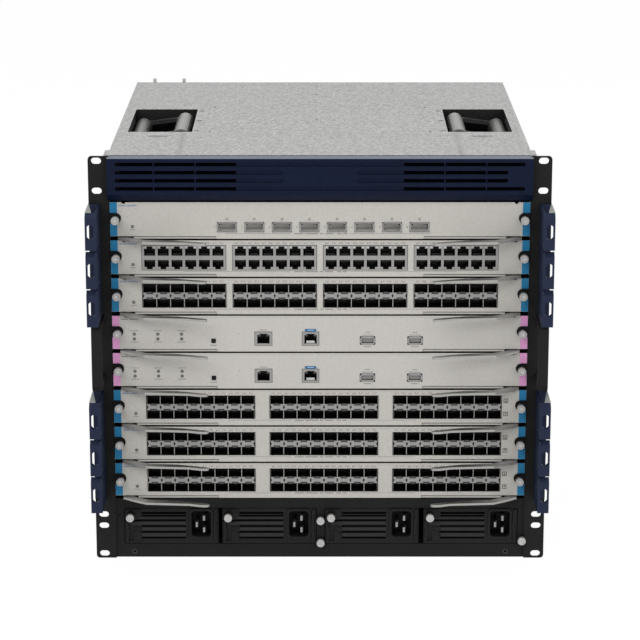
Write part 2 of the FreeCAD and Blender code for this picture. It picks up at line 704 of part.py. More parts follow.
def make_fan_tray(side):
    """Fan drawer: square frame with a round duct, ring grille and fixed axle."""
    cx = side * FAN_X
    h = FAN_FRAME / 2.0
    y1 = BODY_D
    y0 = y1 - FAN_D
    frame = box(cx - h, cx + h, y0, y1, FAN_Z - h, FAN_Z + h)
    f = FAN_FLANGE / 2.0
    frame = frame.fuse(box(cx - f, cx + f, y1, y1 + SHEET, FAN_Z - f, FAN_Z + f))
    frame = frame.cut(bar_y(FAN_BORE_R, cx, FAN_Z, y0 - 1, y1 + 5, 32))
    grille = []
    for r, sides in ((FAN_BORE_R * 0.53, 20), (FAN_BORE_R * 0.79, 24)):
        ring = bar_y(r + 1.5, cx, FAN_Z, y1 - 3, y1, sides)
        grille.append(ring.cut(bar_y(r - 1.5, cx, FAN_Z, y1 - 4, y1 + 1, sides)))
    for a in (0, 60, 120):
        bar = box(-FAN_BORE_R - 2, FAN_BORE_R + 2, y1 - 3, y1, -2.0, 2.0)
        bar.rotate(vec(0, 0, 0), vec(0, 1, 0), a)
        bar.translate(vec(cx, 0, FAN_Z))
        grille.append(bar)
    motor = bar_y(FAN_HUB_R - 4, cx, FAN_Z, y1 - FAN_MOTOR_D, y1, 16)
    axle = rod(AXLE_R, cx, FAN_Z, y0 + 12, y1 - 10)
    return joined(frame, grille + [motor, axle])


def make_fan_rotor(side):
    """Hub with slanted blades, turning on the axle of its tray."""
    cx = side * FAN_X
    y1 = BODY_D - FAN_MOTOR_D - AXLE_END_GAP
    y0 = y1 - FAN_HUB_L
    hub = bar_y(FAN_HUB_R, cx, FAN_Z, y0, y1, 20)
    blades = []
    for i in range(FAN_BLADE_COUNT):
        blade = box(FAN_HUB_R - 3, FAN_BLADE_R, -17, 17, -1.2, 1.2)
        blade.rotate(vec(0, 0, 0), vec(1, 0, 0), 38)
        blade.translate(vec(0, (y0 + y1) / 2, 0))
        blade.rotate(vec(0, 0, 0), vec(0, 1, 0), i * 360.0 / FAN_BLADE_COUNT)
        blade.translate(vec(cx, 0, FAN_Z))
        blades.append(blade)
    rotor = joined(hub, blades)
    return rotor.cut(rod(AXLE_R + AXLE_CLEAR, cx, FAN_Z, y0 - 1, y1 + 1))


# ---------------------------------------------------------------- cards

def make_card(index, windows):
    """Sheet tray behind a faceplate, with collars, lever pins and a rear plug."""
    z = card_z(index)
    f0 = z + CARD_GAP / 2
    f1 = z + CARD_PITCH - CARD_GAP / 2
    face = box(-FACE_HALF, FACE_HALF, FACE_Y0, FACE_Y1, f0, f1)
    cuts = []
    for x0, x1, w0, w1 in windows:
        cuts.append(box(x0 - 0.3, x1 + 0.3, FACE_Y0 - 1, FACE_Y1 + 1, z + w0 - 0.3, z + w1 + 0.3))
    for s in (-1, 1):
        cuts.append(box(s * LEVER_NOTCH_X0, s * HALF, FACE_Y0 - 1, FACE_Y1 + 1, f0 - 1, f0 + LEVER_NOTCH_H))
        cuts.append(bar_y(EDGE_NOTCH_R, s * EDGE_NOTCH_X, f1, FACE_Y0 - 1, FLANGE_Y, BORE_SIDE_COUNT))
    face = face.cut(cuts)
    tray_z = z + TRAY_LIFT
    wall_y = FLANGE_Y + FLANGE_T + 2
    w = TRAY_HALF_W
    parts = [box(-w, w, FACE_Y1 - 0.4, CARD_D, tray_z, tray_z + TRAY_T)]
    for s in (-1, 1):
        parts.append(box(s * (w - TRAY_T), s * w, wall_y, CARD_D, tray_z, tray_z + TRAY_WALL_H))
        zs = z + SCREW_Z
        parts.append(bar_y(COLLAR_R, s * SCREW_X, zs, FACE_Y0 - COLLAR_T, FACE_Y0, KNOB_SIDE_COUNT))
        tongue_y = FACE_Y0 - COLLAR_T
        parts.append(box(s * SCREW_X, s * FACE_HALF, tongue_y, FACE_Y0, zs - COLLAR_R, zs + COLLAR_R))
        parts.append(bar_z(PIVOT_R, s * PIVOT_X, PIVOT_Y, z - 0.2, tray_z + 0.4, PIN_SIDE_COUNT))
        stop_x0 = LEVER_NOTCH_X0 - 2.0
        stop_z1 = f0 + LEVER_NOTCH_H + 1.0
        stop_y = FACE_Y1 - 0.1
        parts.append(box(s * stop_x0, s * LEVER_STOP_X1, stop_y, FACE_Y1 + LEVER_STOP_T, f0 + 0.2, stop_z1))
    parts.append(box(-w + 0.5, w - 0.5, FACE_Y1 - 0.4, FLANGE_Y - 1.5, f1 - TRAY_T, f1))
    parts.append(box(-CARD_PLUG_HALF, CARD_PLUG_HALF, CARD_D - 14, MID_Y - 3.3, tray_z + 0.4, tray_z + 16))
    solid = joined(face, parts)
    bores = []
    for s in (-1, 1):
        r = around(SCREW_R + THREAD_CLEAR, BORE_SIDE_COUNT)
        bores.append(bar_y(r, s * SCREW_X, z + SCREW_Z, FACE_Y0 - 5, FACE_Y1 + 2, BORE_SIDE_COUNT))
        bores.append(bar_y(EDGE_NOTCH_R, s * EDGE_NOTCH_X, f1, FACE_Y0 - 1, FLANGE_Y, BORE_SIDE_COUNT))
    return solid.cut(bores)


def make_lever(index, side):
    """Flat ejector lever: pivot boss behind the faceplate, cranked arm in front."""
    z = card_z(index)
    f = FACE_Y0
    px = PIVOT_X
    arm = [(-px - 5.0, f + 1.0), (-px - 5.0, f - 2.0), (-px + 8.0, f - 12.0)]
    arm += [(-px + 21.0, f - 20.4), (-px + 67.0, f - 24.0), (-px + 78.4, f - 28.2)]
    arm += [(-px + 83.5, f - 29.0), (-px + 87.0, f - 28.2), (-px + 88.3, f - 26.4)]
    arm += [(-px + 87.0, f - 24.4), (-px + 55.4, f - 14.6), (-px + 23.4, f - 11.3)]
    arm += [(-px + 12.0, f - 4.6), (-px + 5.2, f + 1.0)]
    plate = prism_z(arm, z, z + LEVER_T)
    boss = bar_z(LEVER_BOSS_R, -px, PIVOT_Y, z, z + LEVER_T, PIN_SIDE_COUNT)
    r = around(PIVOT_R + PIVOT_CLEAR, PIN_SIDE_COUNT)
    hole = bar_z(r, -px, PIVOT_Y, z - 1, z + LEVER_T + 1, PIN_SIDE_COUNT)
    return handed(joined(plate, [boss]).cut(hole), side)


def make_thumbscrew(index, side):
    """Knurled-head screw with a shallow recess in its face."""
    z = card_z(index) + SCREW_Z
    head_y1 = FACE_Y0 - COLLAR_T - 0.3
    head_y0 = head_y1 - KNOB_LEN
    x = side * SCREW_X
    head = bar_y(KNOB_R, x, z, head_y0, head_y0 + KNOB_HEAD_LEN, KNOB_SIDE_COUNT)
    sleeve = bar_y(KNOB_SLEEVE_R, x, z, head_y0 + KNOB_HEAD_LEN - 0.5, head_y1, PIN_SIDE_COUNT)
    head = head.cut(bar_y(2.3, x, z, head_y0 - 1, head_y0 + 1.0, BORE_SIDE_COUNT))
    thread = bar_y(SCREW_R, x, z, head_y1 - 1, FLANGE_Y + FLANGE_T + 2.5, BORE_SIDE_COUNT)
    return joined(head, [sleeve, thread])


def block_body(x0, x1, z0, z1):
    return box(x0, x1, FACE_Y0 - BLOCK_PROUD, BLOCK_D, z0, z1)


def jack_block(x0, x1, z0, columns):
    """Two rows of copper jacks with their key notches at the outer edges."""
    w = x1 - x0
    pitch = (w - JACK_RIM) / columns
    h = JACK_BLOCK_H
    block = block_body(x0, x1, z0, z0 + h)
    cuts = []
    y0 = FACE_Y0 - BLOCK_PROUD - 1
    for i in range(columns):
        cx = x0 + w / 2 + (i - (columns - 1) / 2.0) * pitch
        k = JACK_KEY_H
        low = z0 + 0.8
        for base, key in ((low + k, low), (z0 + h - 0.8 - k - JACK_H, z0 + h - 0.8 - k - 0.2)):
            a = min(JACK_W, pitch - 1.2) / 2
            b = JACK_KEY_W / 2
            if key < base:
                pts = [(-b, key), (b, key), (b, base), (a, base), (a, base + JACK_H)]
                pts += [(-a, base + JACK_H), (-a, base), (-b, base)]
            else:
                top = base + JACK_H
                pts = [(-a, base), (a, base), (a, top), (b, top), (b, top + k)]
                pts += [(-b, top + k), (-b, top), (-a, top)]
            cuts.append(prism_y([(cx + px, pz) for px, pz in pts], y0, FACE_Y0 + PORT_D))
    return block.cut(cuts)


def cage_block(x0, x1, z0, z1, columns):
    """Two rows of pluggable-module cages around a latch band."""
    block = block_body(x0, x1, z0, z1)
    pitch = (x1 - x0 - 0.4) / columns
    width = pitch - CAGE_DIVIDER
    cuts = []
    y0 = FACE_Y0 - BLOCK_PROUD - 1
    mid = (z0 + z1) / 2.0
    for i in range(columns):
        cx = x0 + 0.2 + pitch * (i + 0.5)
        for cz in (mid - CAGE_BAND / 2 - CAGE_H / 2, mid + CAGE_BAND / 2 + CAGE_H / 2):
            half = CAGE_H / 2
            cuts.append(box(cx - width / 2, cx + width / 2, y0, FACE_Y0 + PORT_D, cz - half, cz + half))
    return block.cut(cuts)


def quad_cage(cx, cz):
    """One wide high-speed cage with bevelled corners."""
    w = QUAD_W / 2 + 0.8
    h = QUAD_H / 2 + 0.8
    shell = chamfered(cx - w, cx + w, FACE_Y0 - 1.2, BLOCK_D, cz - h, cz + h, 1.6)
    y0 = FACE_Y0 - 3
    w -= 0.8
    h -= 0.8
    return shell.cut(chamfered(cx - w, cx + w, y0, FACE_Y0 + PORT_D, cz - h, cz + h, 1.2))


def single_jack(cx, z, width, height):
    """One framed service jack with a stepped opening."""
    frame = box(cx - width / 2, cx + width / 2, FACE_Y0 - BLOCK_PROUD, BLOCK_D - 8, z, z + height)
    y0 = FACE_Y0 - 3
    y1 = FACE_Y0 + PORT_D
    z_low = z + 2.0
    mouth = box(cx - JACK_W / 2, cx + JACK_W / 2, y0, y1, z_low, z_low + JACK_H + 0.6)
    key = box(cx - JACK_KEY_W / 2, cx + JACK_KEY_W / 2, y0, y1, z_low + JACK_H, z_low + JACK_H + 3.0)
    return frame.cut([mouth, key])


def usb_port(cx, cz):
    """Framed flat port with its tongue."""
    shell = chamfered(cx - 7.9, cx + 7.9, FACE_Y0 - BLOCK_PROUD, BLOCK_D - 10, cz - 4.4, cz + 4.4, 2.2)
    mouth = box(cx - 6.2, cx + 6.2, FACE_Y0 - 2, FACE_Y0 + 12, cz - 2.6, cz + 2.6)
    tongue = box(cx - 5.4, cx + 5.4, FACE_Y0 + 1.5, FACE_Y0 + 13, cz + 0.4, cz + 2.0)
    return joined(shell.cut(mouth), [tongue])


def push_button(cx, cz):
    return bar_y(2.25, cx, cz, FACE_Y0 - 1.0, FACE_Y1 + 4, KNOB_SIDE_COUNT)


def hardware_quad(z):
    """Port row of the wide-port card."""
    return [quad_cage(QUAD_X0 + i * QUAD_PITCH, z + 13.3) for i in range(QUAD_COUNT)]


def block_spans(left_edge, right_edge, gap, count):
    """Ends of equal blocks set side by side across the faceplate."""
    x0 = -FACE_HALF + left_edge
    x1 = FACE_HALF - right_edge
    w = (x1 - x0 - (count - 1) * gap) / count
    return [(x0 + i * (w + gap), x0 + i * (w + gap) + w) for i in range(count)]


def port_z(z, height):
    """Bottom of a port block: a fixed share of the room between tray and top lip."""
    low = z + TRAY_LIFT + TRAY_T
    high = z + CARD_PITCH - CARD_GAP / 2 - TRAY_T
    return low + PORT_SEAT * (high - low - height)


def hardware_jacks(z):
    z0 = port_z(z, JACK_BLOCK_H)
    return [jack_block(a, b, z0, 6) for a, b in block_spans(SIX_EDGE, SIX_EDGE, SIX_GAP, 4)]


def hardware_cages_six(z):
    z0 = port_z(z, CAGE_BLOCK_H)
    spans = block_spans(SIX_EDGE, SIX_EDGE, SIX_GAP, 4)
    return [cage_block(a, b, z0, z0 + CAGE_BLOCK_H, 6) for a, b in spans]


def hardware_cages_eight(z):
    z0 = port_z(z, CAGE_BLOCK_H)
    spans = block_spans(EIGHT_EDGE_LEFT, EIGHT_EDGE_RIGHT, EIGHT_GAP, 3)
    return [cage_block(a, b, z0, z0 + CAGE_BLOCK_H, 8) for a, b in spans]


def hardware_control(z):
    """Service ports of the control card."""
    parts = [single_jack(-59.8, z + 7.9, 17.8, 14.4), single_jack(-10.0, z + 7.9, 17.3, 14.4)]
    parts += [usb_port(50.3, z + 12.9), usb_port(100.5, z + 12.9), push_button(-112.5, z + 12.6)]
    return parts


LAYOUTS = (hardware_quad, hardware_jacks, hardware_cages_six, hardware_control,
           hardware_control, hardware_cages_eight, hardware_cages_eight, hardware_cages_eight)


def make_hardware(index):
    """Everything mounted on a card: its ports and both thumbscrews."""
    ports = LAYOUTS[index](card_z(index))
    screws = [make_thumbscrew(index, -1), make_thumbscrew(index, 1)]
    return ports, screws


def port_windows(ports, z):
    """Faceplate cut-outs: the outline of each port, seen from the front."""
    out = []
    for p in ports:
        b = p.BoundBox
        out.append((b.XMin, b.XMax, b.ZMin - z, b.ZMax - z))
    return out


def save(shape, name):
    shape.exportStep("parts/" + name + ".step")


def main():
    os.makedirs("parts", exist_ok=True)
    save(make_base_plate(), "base_plate")
    save(make_top_cover(), "top_cover")
    save(make_front_frame(), "front_frame")
    save(make_rear_panel(), "rear_panel")
    save(make_card_guides(), "card_guides")
    save(make_midplane(), "midplane")
    save(make_fascia(), "fascia")
    save(make_air_filter(), "air_filter")
    for side, word in ((-1, "left"), (1, "right")):
        save(make_side_panel(side), "side_panel_" + word)
        save(make_rack_ear(side), "rack_ear_" + word)
        save(make_cable_guide(side, GUIDE_UPPER_TOP), "cable_guide_upper_" + word)
        save(make_cable_guide(side, GUIDE_LOWER_TOP), "cable_guide_lower_" + word)
        save(make_carry_handle(side), "carry_handle_" + word)
        save(make_lift_handle(side), "lift_handle_" + word)
        save(make_fan_tray(side), "fan_tray_" + word)
        save(make_fan_rotor(side), "fan_rotor_" + word)
    for i in range(4):
        save(make_psu(i), "psu_" + str(i + 1))
    for i in range(CARD_COUNT):
        name = "card_" + str(i + 1)
        ports, screws = make_hardware(i)
        save(make_card(i, port_windows(ports, card_z(i))), name)
        save(Part.makeCompound(ports + screws), name + "_hardware")
        save(make_lever(i, -1), name + "_lever_left")
        save(make_lever(i, 1), name + "_lever_right")


main()
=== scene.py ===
# %% [markdown]
# # A modular chassis switch, dressed in Blender
# The solids come from the construction model.  This lesson adds finishes, small fitted
# parts and a studio.  New pieces are surfaces worked out with numpy from a formula, and
# each one rides on the body of the frame that carries it.

# %% Load the frame
import math
import bpy
import numpy as np
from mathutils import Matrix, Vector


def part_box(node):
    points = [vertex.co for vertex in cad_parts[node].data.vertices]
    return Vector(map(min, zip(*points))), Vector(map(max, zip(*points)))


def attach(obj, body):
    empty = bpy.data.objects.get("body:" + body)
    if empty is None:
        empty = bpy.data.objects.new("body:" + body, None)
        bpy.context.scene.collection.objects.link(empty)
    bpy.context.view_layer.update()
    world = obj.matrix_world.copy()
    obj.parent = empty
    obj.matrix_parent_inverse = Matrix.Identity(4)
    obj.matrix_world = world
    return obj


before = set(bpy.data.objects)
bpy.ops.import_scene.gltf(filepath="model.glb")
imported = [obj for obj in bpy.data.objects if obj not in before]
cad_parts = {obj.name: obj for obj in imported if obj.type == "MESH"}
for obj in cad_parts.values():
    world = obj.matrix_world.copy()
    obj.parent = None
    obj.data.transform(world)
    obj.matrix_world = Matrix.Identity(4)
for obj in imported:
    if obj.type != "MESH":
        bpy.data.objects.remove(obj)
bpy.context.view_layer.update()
MM = 0.001

# %% [markdown]
# ## Mesh helpers
# Every new piece starts as an array of points and a list of faces.  Copies are made by
# adding an offset to the whole array, so no loop runs over single points.

# %% Putting arrays into a mesh
def put(name, shape, body, material, smooth=False):
    """One object from (points in mm, faces): it stays at the origin and rides on a body."""
    points, faces = shape
    mesh = bpy.data.meshes.new(name)
    mesh.from_pydata((np.asarray(points) * MM).tolist(), [], [list(map(int, f)) for f in faces])
    mesh.polygons.foreach_set("use_smooth", np.full(len(mesh.polygons), smooth))
    mesh.materials.append(material)
    piece = bpy.data.objects.new(name, mesh)
    bpy.context.scene.collection.objects.link(piece)
    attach(piece, body)


def gather(shapes):
    """Several (points, faces) shapes as one: face numbers move up by the points before them."""
    points, faces, base = [], [], 0
    for p, f in shapes:
        points.append(np.asarray(p, float))
        faces += [[int(i) + base for i in face] for face in f]
        base += len(p)
    return np.vstack(points), faces


def stamp(shape, places):
    """Copies of a shape: each place (x, y, z) is added to all of its points."""
    p, f = shape
    places = np.asarray(places, float).reshape(-1, 3)
    points = (np.asarray(p, float)[None] + places[:, None]).reshape(-1, 3)
    faces = [[int(i) + k * len(p) for i in face] for k in range(len(places)) for face in f]
    return points, faces


# %% [markdown]
# ### Plates
# Labels, rims, tabs and bars are plates cut to an outline.  They could be drawn by hand,
# but a formula keeps them exact: a plate is its outline repeated at a few depths.

# %% Plates from an outline
def area_of(outline):
    """Half the sum of the cross products of neighbouring corners; positive if anticlockwise."""
    x, z = outline[:, 0], outline[:, 1]
    return 0.5 * float(np.sum(x * np.roll(z, -1) - np.roll(x, -1) * z))


def plate(outline, front, back, bevel=0.0):
    """Plate facing -Y: the outline at the back, at the front, and quads between the rings.
    With a bevel the front ring is drawn in: each corner moves towards the centre by the
    same share of its distance."""
    o = np.asarray(outline, float)
    o = o if area_of(o) > 0 else o[::-1]
    n = len(o)
    middle = (o.max(0) + o.min(0)) / 2
    half = (o.max(0) - o.min(0)) / 2
    inner = middle + (o - middle) * (half - bevel) / half
    steps = [(o, back), (o, front + bevel), (inner, front)] if bevel > 0 else [(o, back), (o, front)]
    rings = [np.column_stack([ring[:, 0], np.full(n, y), ring[:, 1]]) for ring, y in steps]
    i = np.arange(n)
    j = (i + 1) % n
    faces = [i[::-1].tolist()]
    for k in range(len(rings) - 1):
        a, b = k * n, (k + 1) * n
        faces += np.column_stack([b + j, b + i, a + i, a + j]).tolist()
    faces.append(((len(rings) - 1) * n + i).tolist())
    return np.vstack(rings), faces


def oblong(x0, x1, z0, z1):
    """Corners of an upright rectangle."""
    return np.array([(x0, z0), (x1, z0), (x1, z1), (x0, z1)], float)


def rounded(x0, x1, z0, z1, r, steps=4):
    """Rectangle with round corners: a quarter circle of radius r about each inset corner."""
    t = np.linspace(0, math.pi / 2, steps + 1)
    centres = ((x1 - r, z1 - r), (x0 + r, z1 - r), (x0 + r, z0 + r), (x1 - r, z0 + r))
    rows = [np.column_stack([cx + r * np.cos(t + k * math.pi / 2), cz + r * np.sin(t + k * math.pi / 2)])
            for k, (cx, cz) in enumerate(centres)]
    return np.vstack(rows)


def disc(x, z, r, sides):
    """Points at equal angles on a circle."""
    a = np.linspace(0, 2 * math.pi, sides, endpoint=False)
    return np.column_stack([x + r * np.cos(a), z + r * np.sin(a)])


# %% [markdown]
# ### Turned parts
# Screw heads, rings and lenses come off a lathe.  The same is done here: a profile of
# radius and depth is swept round an axis, which gives closed, evenly faced rings.

# %% Turned parts
def turned(profile, centre, sides, knurl=0.0):
    """Surface of revolution about a line along Y through the centre.  Ring k has radius
    profile[k][0] at depth profile[k][1], from back to front.  A knurl presses every other
    point of the wide rings in by that share of the radius."""
    prof = np.asarray(profile, float)
    a = np.linspace(0, 2 * math.pi, sides, endpoint=False)
    widest = prof[:, 0].max()
    wide = (prof[:, 0] > 0.9 * widest)[:, None]
    r = prof[:, 0][:, None] * np.where(wide, 1.0 - knurl * (np.arange(sides) % 2)[None, :], 1.0)
    y = np.broadcast_to(centre[1] + prof[:, 1][:, None], r.shape)
    points = np.stack([centre[0] + r * np.cos(a), y, centre[2] + r * np.sin(a)], -1).reshape(-1, 3)
    k, i = np.meshgrid(np.arange(len(prof) - 1), np.arange(sides), indexing="ij")
    j = (i + 1) % sides
    quads = np.stack([k * sides + i, k * sides + j, (k + 1) * sides + j, (k + 1) * sides + i], -1)
    last = (len(prof) - 1) * sides
    faces = quads.reshape(-1, 4).tolist() + [list(range(sides))[::-1], [last + m for m in range(sides)]]
    return points, faces


# %% [markdown]
# ## Camera
# The camera stands in front and looks a little down.  A wide lens up close would spread
# the upright edges, so a product view takes a long lens from further back.

# %% Camera
CAMERA_PLACE = (0.0, -2.6086, 0.9603)
CAMERA_DOWN = 14.92
CAMERA_LENS = 143.8


def make_camera():
    """Camera that looks along +Y, tilted down by CAMERA_DOWN degrees."""
    data = bpy.data.cameras.new("camera")
    data.sensor_width = 36.0
    data.lens = CAMERA_LENS
    data.clip_end = 50.0
    camera = bpy.data.objects.new("camera", data)
    camera.location = CAMERA_PLACE
    camera.rotation_euler = (math.radians(90 - CAMERA_DOWN), 0.0, 0.0)
    bpy.context.scene.collection.objects.link(camera)
    bpy.context.scene.camera = camera


make_camera()
bpy.context.scene.view_settings.view_transform = "Standard"
print("camera looks down by", CAMERA_DOWN, "degrees")

# %% [markdown]
# ## Values that vary over a surface
# A material can work out a value at every point, such as the height above a card slot.
# In the node editor each sum takes a Math node.  A small class adds those nodes whenever
# two values are added or compared, so that a rule reads like plain arithmetic.

# %% Arithmetic that builds Math nodes
def feed(node, values):
    """Fill inputs of a node: a field or a socket is linked, any other value is set."""
    for key, value in values.items():
        value = getattr(value, "socket", value)
        if isinstance(value, bpy.types.NodeSocket):
            node.id_data.links.new(value, node.inputs[key])
        else:
            node.inputs[key].default_value = value


class Field:
    """A value over the surface, held as a socket."""

    def __init__(self, socket):
        self.socket = socket
        self.tree = socket.node.id_data

    def join(self, operation, *values):
        """One Math node fed with fields or numbers; its result is the new field."""
        node = self.tree.nodes.new("ShaderNodeMath")
        node.operation = operation
        feed(node, dict(enumerate(values)))
        return Field(node.outputs[0])

    def clamped(self):
        """The same field, held between 0 and 1 by the Math node that made it."""
        self.socket.node.use_clamp = True
        return self


def math_method(operation, swapped=False):
    """Method that joins a field with another value; swapped puts the other value first."""
    def method(self, other=0.0):
        return self.join(operation, *((other, self) if swapped else (self, other)))
    return method


OPERATORS = {"__add__": "ADD", "__sub__": "SUBTRACT", "__mul__": "MULTIPLY", "__mod__": "MODULO",
             "__truediv__": "DIVIDE", "__pow__": "POWER", "__abs__": "ABSOLUTE",
             "__gt__": "GREATER_THAN", "__lt__": "LESS_THAN"}
for key, operation in OPERATORS.items():
    setattr(Field, key, math_method(operation))
Field.__rsub__ = math_method("SUBTRACT", swapped=True)


# %% Colours and masks
MIX_FACTOR, MIX_A, MIX_B, MIX_RESULT = 0, 6, 7, 2


def srgb(r, g, b):
    """Screen colour 0..255 as the linear colour that a shader takes."""
    c = np.array([r, g, b], float) / 255.0
    linear = np.where(c <= 0.04045, c / 12.92, ((c + 0.055) / 1.055) ** 2.4)
    return tuple(float(v) for v in linear) + (1.0,)


def grey(level):
    """Neutral screen colour."""
    return srgb(level, level, level)


def shade(colour, factor):
    """A colour made lighter or darker."""
    return tuple(min(1.0, c * factor) for c in colour[:3]) + (1.0,)


def blend(factor, a, b):
    """Colour a where the field is 0 and b where it is 1; each is a colour or a socket."""
    node = factor.tree.nodes.new("ShaderNodeMix")
    node.data_type = "RGBA"
    feed(node, {MIX_FACTOR: factor, MIX_A: a, MIX_B: b})
    return node.outputs[MIX_RESULT]


def between(value, low, high):
    """1 where low < value < high, else 0."""
    return (value > low) * (value < high)


def start(name):
    """New material and its Principled BSDF."""
    material = bpy.data.materials.new(name)
    material.use_nodes = True
    return material, next(n for n in material.node_tree.nodes if n.type == "BSDF_PRINCIPLED")


# %% [markdown]
# ## Studio
# The floor is pale and matt.  Camera and mirror rays see it almost as plain white, so the
# backdrop stays clean under low lamps and still shows a trace of the shadow.  Large area
# lamps give soft edges, and the world fills in the rest.

# %% Floor
FLOOR_HALF = 30.0
FLOOR_GLOW = 1.03
FLOOR_WHITE = 0.93


def make_floor():
    """Square on the ground: a matt surface, mixed with white for rays that are seen."""
    mesh = bpy.data.meshes.new("floor")
    s = FLOOR_HALF
    mesh.from_pydata([(-s, -s, 0), (s, -s, 0), (s, s, 0), (-s, s, 0)], [], [(0, 1, 2, 3)])
    floor = bpy.data.objects.new("floor", mesh)
    bpy.context.scene.collection.objects.link(floor)
    material, shader = start("pale_floor")
    tree = material.node_tree
    feed(shader, {"Base Color": (0.86, 0.86, 0.86, 1), "Roughness": 0.9, "Specular IOR Level": 0.1})
    rays = tree.nodes.new("ShaderNodeLightPath").outputs
    seen = Field(rays["Is Camera Ray"]) + Field(rays["Is Glossy Ray"])
    seen = (seen + Field(rays["Is Transmission Ray"])).clamped() * FLOOR_WHITE
    white = tree.nodes.new("ShaderNodeEmission")
    feed(white, {"Strength": FLOOR_GLOW})
    mixer = tree.nodes.new("ShaderNodeMixShader")
    out = next(n for n in tree.nodes if n.type == "OUTPUT_MATERIAL")
    feed(mixer, {0: seen, 1: shader.outputs[0], 2: white.outputs[0]})
    feed(out, {"Surface": mixer.outputs[0]})
    mesh.materials.append(material)


make_floor()

# %% Lamps and world
WORLD_LIGHT, WORLD_SEEN = 0.48, 1.0


def make_lamp(name, place, aim, size, power):
    """Area lamp at a place, turned so that its -Z axis points at the aim."""
    data = bpy.data.lights.new(name, "AREA")
    data.shape = "RECTANGLE"
    data.size, data.size_y = size
    data.energy = power
    lamp = bpy.data.objects.new(name, data)
    lamp.location = place
    way = np.array(place) - np.array(aim)
    tilt = math.atan2(math.hypot(way[0], way[1]), way[2])
    lamp.rotation_euler = (tilt, 0, math.atan2(way[1], way[0]) + math.pi / 2)
    bpy.context.scene.collection.objects.link(lamp)


def make_world():
    """White world: weak as a light, full white where the camera looks past the floor."""
    world = bpy.data.worlds.new("studio")
    world.use_nodes = True
    tree = world.node_tree
    rays = Field(tree.nodes.new("ShaderNodeLightPath").outputs["Is Camera Ray"])
    strength = rays * (WORLD_SEEN - WORLD_LIGHT) + WORLD_LIGHT
    feed(tree.nodes["Background"], {"Color": (1, 1, 1, 1), "Strength": strength})
    bpy.context.scene.world = world


make_lamp("key", place=(-1.2, -2.6, 2.2), aim=(0, 0.1, 0.2), size=(2.2, 1.6), power=42.0)
make_lamp("fill", place=(1.6, -2.4, 1.3), aim=(0, 0.0, 0.2), size=(1.8, 1.8), power=20.0)
make_lamp("top", place=(0.0, 0.9, 2.6), aim=(0, 0.2, 0.4), size=(2.4, 2.0), power=24.0)
make_world()

# %% [markdown]
# ## Shared effects as node groups
# Grain is the fine unevenness of paint and plastic, flecks are the small crystals of
# zinc-coated sheet.  Both are built once as node groups that put out a plain value, and
# each material mixes it in at its own strength.

# %% Node groups
BROAD_SCALE, BROAD_SHARE = 9.0, 0.35
FLECK_SHARE, FLECK_NOISE = 0.8, 420.0


def make_group(name, build):
    """Group with a Vector and a Scale input and one Value output."""
    group = bpy.data.node_groups.new(name, "ShaderNodeTree")
    group.interface.new_socket(name="Vector", in_out="INPUT", socket_type="NodeSocketVector")
    group.interface.new_socket(name="Scale", in_out="INPUT", socket_type="NodeSocketFloat")
    group.interface.new_socket(name="Value", in_out="OUTPUT", socket_type="NodeSocketFloat")
    given = group.nodes.new("NodeGroupInput").outputs
    result = group.nodes.new("NodeGroupOutput").inputs
    group.links.new(build(group, given["Vector"], given["Scale"]).socket, result["Value"])
    return group


def noise_in(group, vector, scale, detail):
    """Noise texture inside a group, centred on zero; the scale is a number or a socket."""
    noise = group.nodes.new("ShaderNodeTexNoise")
    feed(noise, {"Vector": vector, "Scale": scale, "Detail": detail})
    return Field(noise.outputs["Fac"]) - 0.5


def build_grain(group, vector, scale):
    """Fine noise plus a third as much broad noise."""
    broad = noise_in(group, vector, BROAD_SCALE, 2.0)
    return noise_in(group, vector, scale, 3.0) + broad * BROAD_SHARE


def build_flecks(group, vector, scale):
    """Random grey per Voronoi cell, broken up by a fine noise."""
    cells = group.nodes.new("ShaderNodeTexVoronoi")
    feed(cells, {"Vector": vector, "Scale": scale})
    parts = group.nodes.new("ShaderNodeSeparateColor")
    feed(parts, {0: cells.outputs["Color"]})
    return (Field(parts.outputs[0]) - 0.5) * FLECK_SHARE + noise_in(group, vector, FLECK_NOISE, 4.0)


GRAIN = make_group("grain", build_grain)
FLECKS = make_group("flecks", build_flecks)
print("shared effects", GRAIN.name, FLECKS.name)

# %% [markdown]
# ## Finishes
# Each finish is a short recipe: a colour, how rough, how metallic, how much grain.  A
# solid has no separate faces, so where it carries two finishes, as a painted plate with
# bare edges does, the material picks between them by where the point lies.

# %% A finish from a recipe
RELIEF_HEIGHT = 0.0002


def use(tree, group, vector, scale):
    """A group placed in a material; returns its value."""
    node = tree.nodes.new("ShaderNodeGroup")
    node.node_tree = group
    feed(node, {"Vector": vector, "Scale": scale})
    return Field(node.outputs["Value"])


def emboss(shader, value, strength):
    """The same effect as a very low relief."""
    node = value.tree.nodes.new("ShaderNodeBump")
    feed(node, {"Strength": strength, "Distance": RELIEF_HEIGHT, "Height": value})
    feed(shader, {"Normal": node.outputs["Normal"]})


def finish(name, colour, rough=0.5, metal=0.0, scale=400.0, spread=0.08, relief=0.0, group=GRAIN,
           gloss=0.5, patch=None):
    """The effect varies the colour by the spread and makes rougher spots duller;
    patch(x, y, z, tone) may change the colour by place, in metres."""
    material, shader = start(name)
    tree = material.node_tree
    place = tree.nodes.new("ShaderNodeTexCoord").outputs["Object"]
    value = use(tree, group, place, scale)
    level = (value * 2.0 + 0.5).clamped()
    tone = blend(level, shade(colour, 1 - spread), shade(colour, 1 + spread))
    if patch:
        split = tree.nodes.new("ShaderNodeSeparateXYZ")
        feed(split, {0: place})
        tone = patch(*(Field(socket) for socket in split.outputs), tone)
    feed(shader, {"Base Color": tone, "Roughness": (value * 0.2 + rough).clamped(),
                  "Metallic": metal, "Specular IOR Level": gloss})
    if relief > 0:
        emboss(shader, value, relief)
    return material


